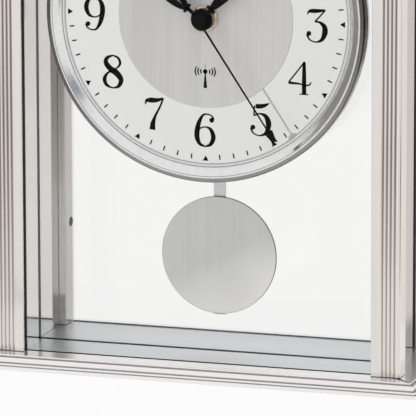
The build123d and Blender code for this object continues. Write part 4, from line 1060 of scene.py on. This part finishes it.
def pane_glass(name, mirror_part, edge_dark, edge_end, upright=1.0):
    """Clear faces with a part of the mirror, which grows with the fifth power of the slant. Edges, whose
    normal is far from the pane's, are ground as far back as edge_end, and upright edges by a share."""
    look = finish(name)
    clear = look.node("BsdfTransparent", {"Color": CLEAR})
    mirror = look.node("BsdfGlossy", {"Roughness": 0.0, "Color": WHITE})
    slant = look.node("LayerWeight", {"Blend": 0.5}, "Facing")
    share = (STRAIGHT_MIRROR + (1.0 - STRAIGHT_MIRROR) * slant.power(5.0)) * mirror_part
    face = look.mixed(share, clear, mirror)
    green = look.between(look.grain(EVEN, SMEAR_SCALE), (0.006, 0.01, 0.009), (0.015, 0.025, 0.022))
    edge = look.principled(Base_Color=green, Roughness=0.3, Specular_IOR_Level=0.15)
    normal = look.node("TexCoord", output="Normal")
    forward, upward = (look.node("SeparateXYZ", {0: normal}, axis) for axis in "YZ")
    lying = (upward * upward).over(FACING)
    edge_part = (1.0 - (forward * forward).over(FACING)) * lying.most(upright)
    place = look.node("TexCoord", output="Object")
    depth = look.node("SeparateXYZ", {0: place}, "Y")
    plain = 1.0 - edge_dark * edge_part * (1.0 - depth.over(edge_end * MM))
    return look.shows(look.mixed(plain, edge, face))


dress(pane_glass("coated_glass", 0.05, 0.95, glass_high[1], upright=0.0), front_pane)
dress(pane_glass("dial_pane", 1.0, 0.97, span("dial_glass")[0][1] + GROUND_EDGE), "dial_glass")
dress(pane_glass("door_glass", 1.0, 0.12, span("rear_door")[1][1]), "rear_door")

# %% [markdown]
# ## Stage, light and camera
# The clock stands on a white table in a light tent: light comes from all round, and a small lamp far to
# the left draws the shadows of the hands. Rays that the camera, a mirror or a pane send out meet plain
# white. Dark cards, which only mirrors see, give the polished metal its dark lines.

# %% Stage and light
TENT_LIGHT = 0.35
WHITE_SHARE = 0.94  # of the table that is plain white to the eye, the rest takes the light
TABLE_GREY = (0.86, 0.86, 0.86, 1.0)
TABLE_HALF = 2.5  # metres, and so are all places below
CLOCK_MIDDLE = (0.0, 0.0, 0.11)


def seen_white(look):
    """1 for rays of the camera, of mirrors and of panes, 0 for the rays that light the object."""
    path = look.node("LightPath").output.node
    camera, glossy, through = (Socket(look, path.outputs[name]) for name in
                               ("Is Camera Ray", "Is Glossy Ray", "Is Transmission Ray"))
    return camera.most(glossy).most(through)


def staged(name, rows, material, hidden_from=()):
    """Sheet of the stage through rows of points, hidden from some kinds of rays."""
    points, faces = shell(np.array(rows), loop_columns=False)
    mesh = bpy.data.meshes.new(name)
    mesh.from_pydata(points.tolist(), [], faces)
    mesh.materials.append(material)
    thing = linked(name, mesh)
    for ray in hidden_from:
        setattr(thing, "visible_" + ray, False)
    return thing


def lamp(name, place, size, watts):
    """Soft square lamp that looks at the clock and that no mirror shows."""
    light = bpy.data.lights.new(name, "AREA")
    light.size = size
    light.energy = watts
    thing = linked(name, light)
    thing.location = place
    thing.rotation_euler = (Vector(CLOCK_MIDDLE) - Vector(place)).to_track_quat("-Z", "Y").to_euler()
    thing.visible_glossy = False
    return thing


tent = Finish(bpy.data.worlds.new("light_tent"))
strength = TENT_LIGHT + (1.0 - TENT_LIGHT) * seen_white(tent)
sky = tent.node("Background", {"Color": WHITE, "Strength": strength})
bpy.context.scene.world = tent.shows(sky, "World")

table_look = finish("white_table")
matte = table_look.node("BsdfDiffuse", {"Color": TABLE_GREY})
white = table_look.node("Emission", {"Color": WHITE, "Strength": 1.0})
table_look.shows(table_look.mixed(seen_white(table_look) * WHITE_SHARE, matte, white))
staged("table", [[(x, y, 0.0) for x in (-TABLE_HALF, TABLE_HALF)] for y in (TABLE_HALF, -TABLE_HALF)],
       table_look.owner)
lamps = [lamp("key_lamp", (-1.905, -2.25, 0.74), 0.09, 49.0), lamp("front_lamp", (0.6, -1.9, 1.3), 1.2, 5.0)]
print("tent, table and", len(lamps), "lamps are ready")

# %% [markdown]
# The cards lie on the table or stand round it. Most are parts of a ring about the clock, so that a side
# of the case mirrors one of them wherever it is seen from.

# %% Cards
MIRRORS_ONLY = ("camera", "diffuse", "shadow", "transmission", "volume_scatter")
LIFT = 0.003  # of a card that lies on the table
SECTOR_STEPS = 24


def card_look(name, dark, light, scale, fade=0.5):
    """Card whose glow drifts between two tones, so that its mirror image is not one flat colour. Towards the
    clock it fades to white: the share falls in a straight line with the distance from the middle."""
    look = finish(name)
    place = look.node("TexCoord", output="Object")
    away = look.node("VectorMath", {0: place}, "Value", operation="LENGTH")
    near = look.node("Math", {0: 1.0, 1: away * (1.0 / fade)}, operation="SUBTRACT", use_clamp=True)
    tone = look.between(look.grain(EVEN, scale, detail=2.0), dark, light)
    glow = look.between(near, tone, WHITE[:3])
    return look.shows(look.node("Emission", {"Color": glow, "Strength": 1.0}))


def sector(azimuth, distance, height=(LIFT, LIFT)):
    """Two rows of points between two azimuths, counted to the right from the dial's front: one at a near
    distance and height, one at a far distance and height."""
    turn = np.radians(np.linspace(*azimuth, SECTOR_STEPS))
    return [np.column_stack([reach * np.sin(turn), -reach * np.cos(turn), np.full_like(turn, rise)])
            for reach, rise in zip(distance, height)]


brown = card_look("brown_card", (0.20, 0.175, 0.165), (0.40, 0.37, 0.35), 4.0)
grey = card_look("grey_card", (0.46, 0.48, 0.51), (0.70, 0.72, 0.75), 4.0)
blue = card_look("blue_card", (0.14, 0.17, 0.22), (0.30, 0.34, 0.40), 8.0)
pale = card_look("pale_card", (0.84, 0.82, 0.80), (0.96, 0.94, 0.92), 3.0, 0.1)
warm = card_look("warm_card", (0.42, 0.40, 0.37), (0.58, 0.555, 0.52), 3.0)
CARDS = (
    ("left_floor_card", sector((-104, -38), (0.17, 1.3)), brown),
    ("left_wall_card", sector((-104, -42), (1.3, 1.3), (LIFT, 0.62)), brown),
    ("left_rear_card", sector((-150, -104), (0.5, 0.5), (LIFT, 0.6)), grey),
    ("right_floor_card", sector((48, 112), (0.27, 0.6)), brown),
    ("right_wall_card", sector((74, 112), (0.6, 0.6), (LIFT, 0.7)), grey),
    ("rear_floor_card", sector((125, 232), (0.046, 1.6)), pale),
    ("front_strip_card", [[(0.012, -0.275, LIFT), (0.042, -0.275, LIFT)],
                          [(0.41, -1.5, LIFT), (0.53, -1.5, LIFT)]], warm),
    ("right_front_card", [[(0.5, -1.9, 0.30), (1.6, -1.2, 0.82)],
                          [(0.5, -1.9, 0.56), (1.6, -1.2, 1.3)]], blue))
for name, rows, look in CARDS:
    staged(name, rows, look, MIRRORS_ONLY)
print("cards:", [name for name, _, _ in CARDS])

# %% Camera
CAMERA_PLACE = (0.573943, -1.820870, 0.457190)  # metres
CAMERA_TURN = (78.3802, 0.1079, 17.5761)  # degrees about X, Y and Z
LENS = 421.06
SENSOR = 36.0
camera_data = bpy.data.cameras.new("camera")
camera_data.lens = LENS
camera_data.sensor_width = SENSOR
camera = linked("camera", camera_data)
camera.location = CAMERA_PLACE
camera.rotation_euler = [math.radians(angle) for angle in CAMERA_TURN]
bpy.context.scene.camera = camera
bpy.context.scene.view_settings.view_transform = "Standard"
print("camera at", CAMERA_PLACE)
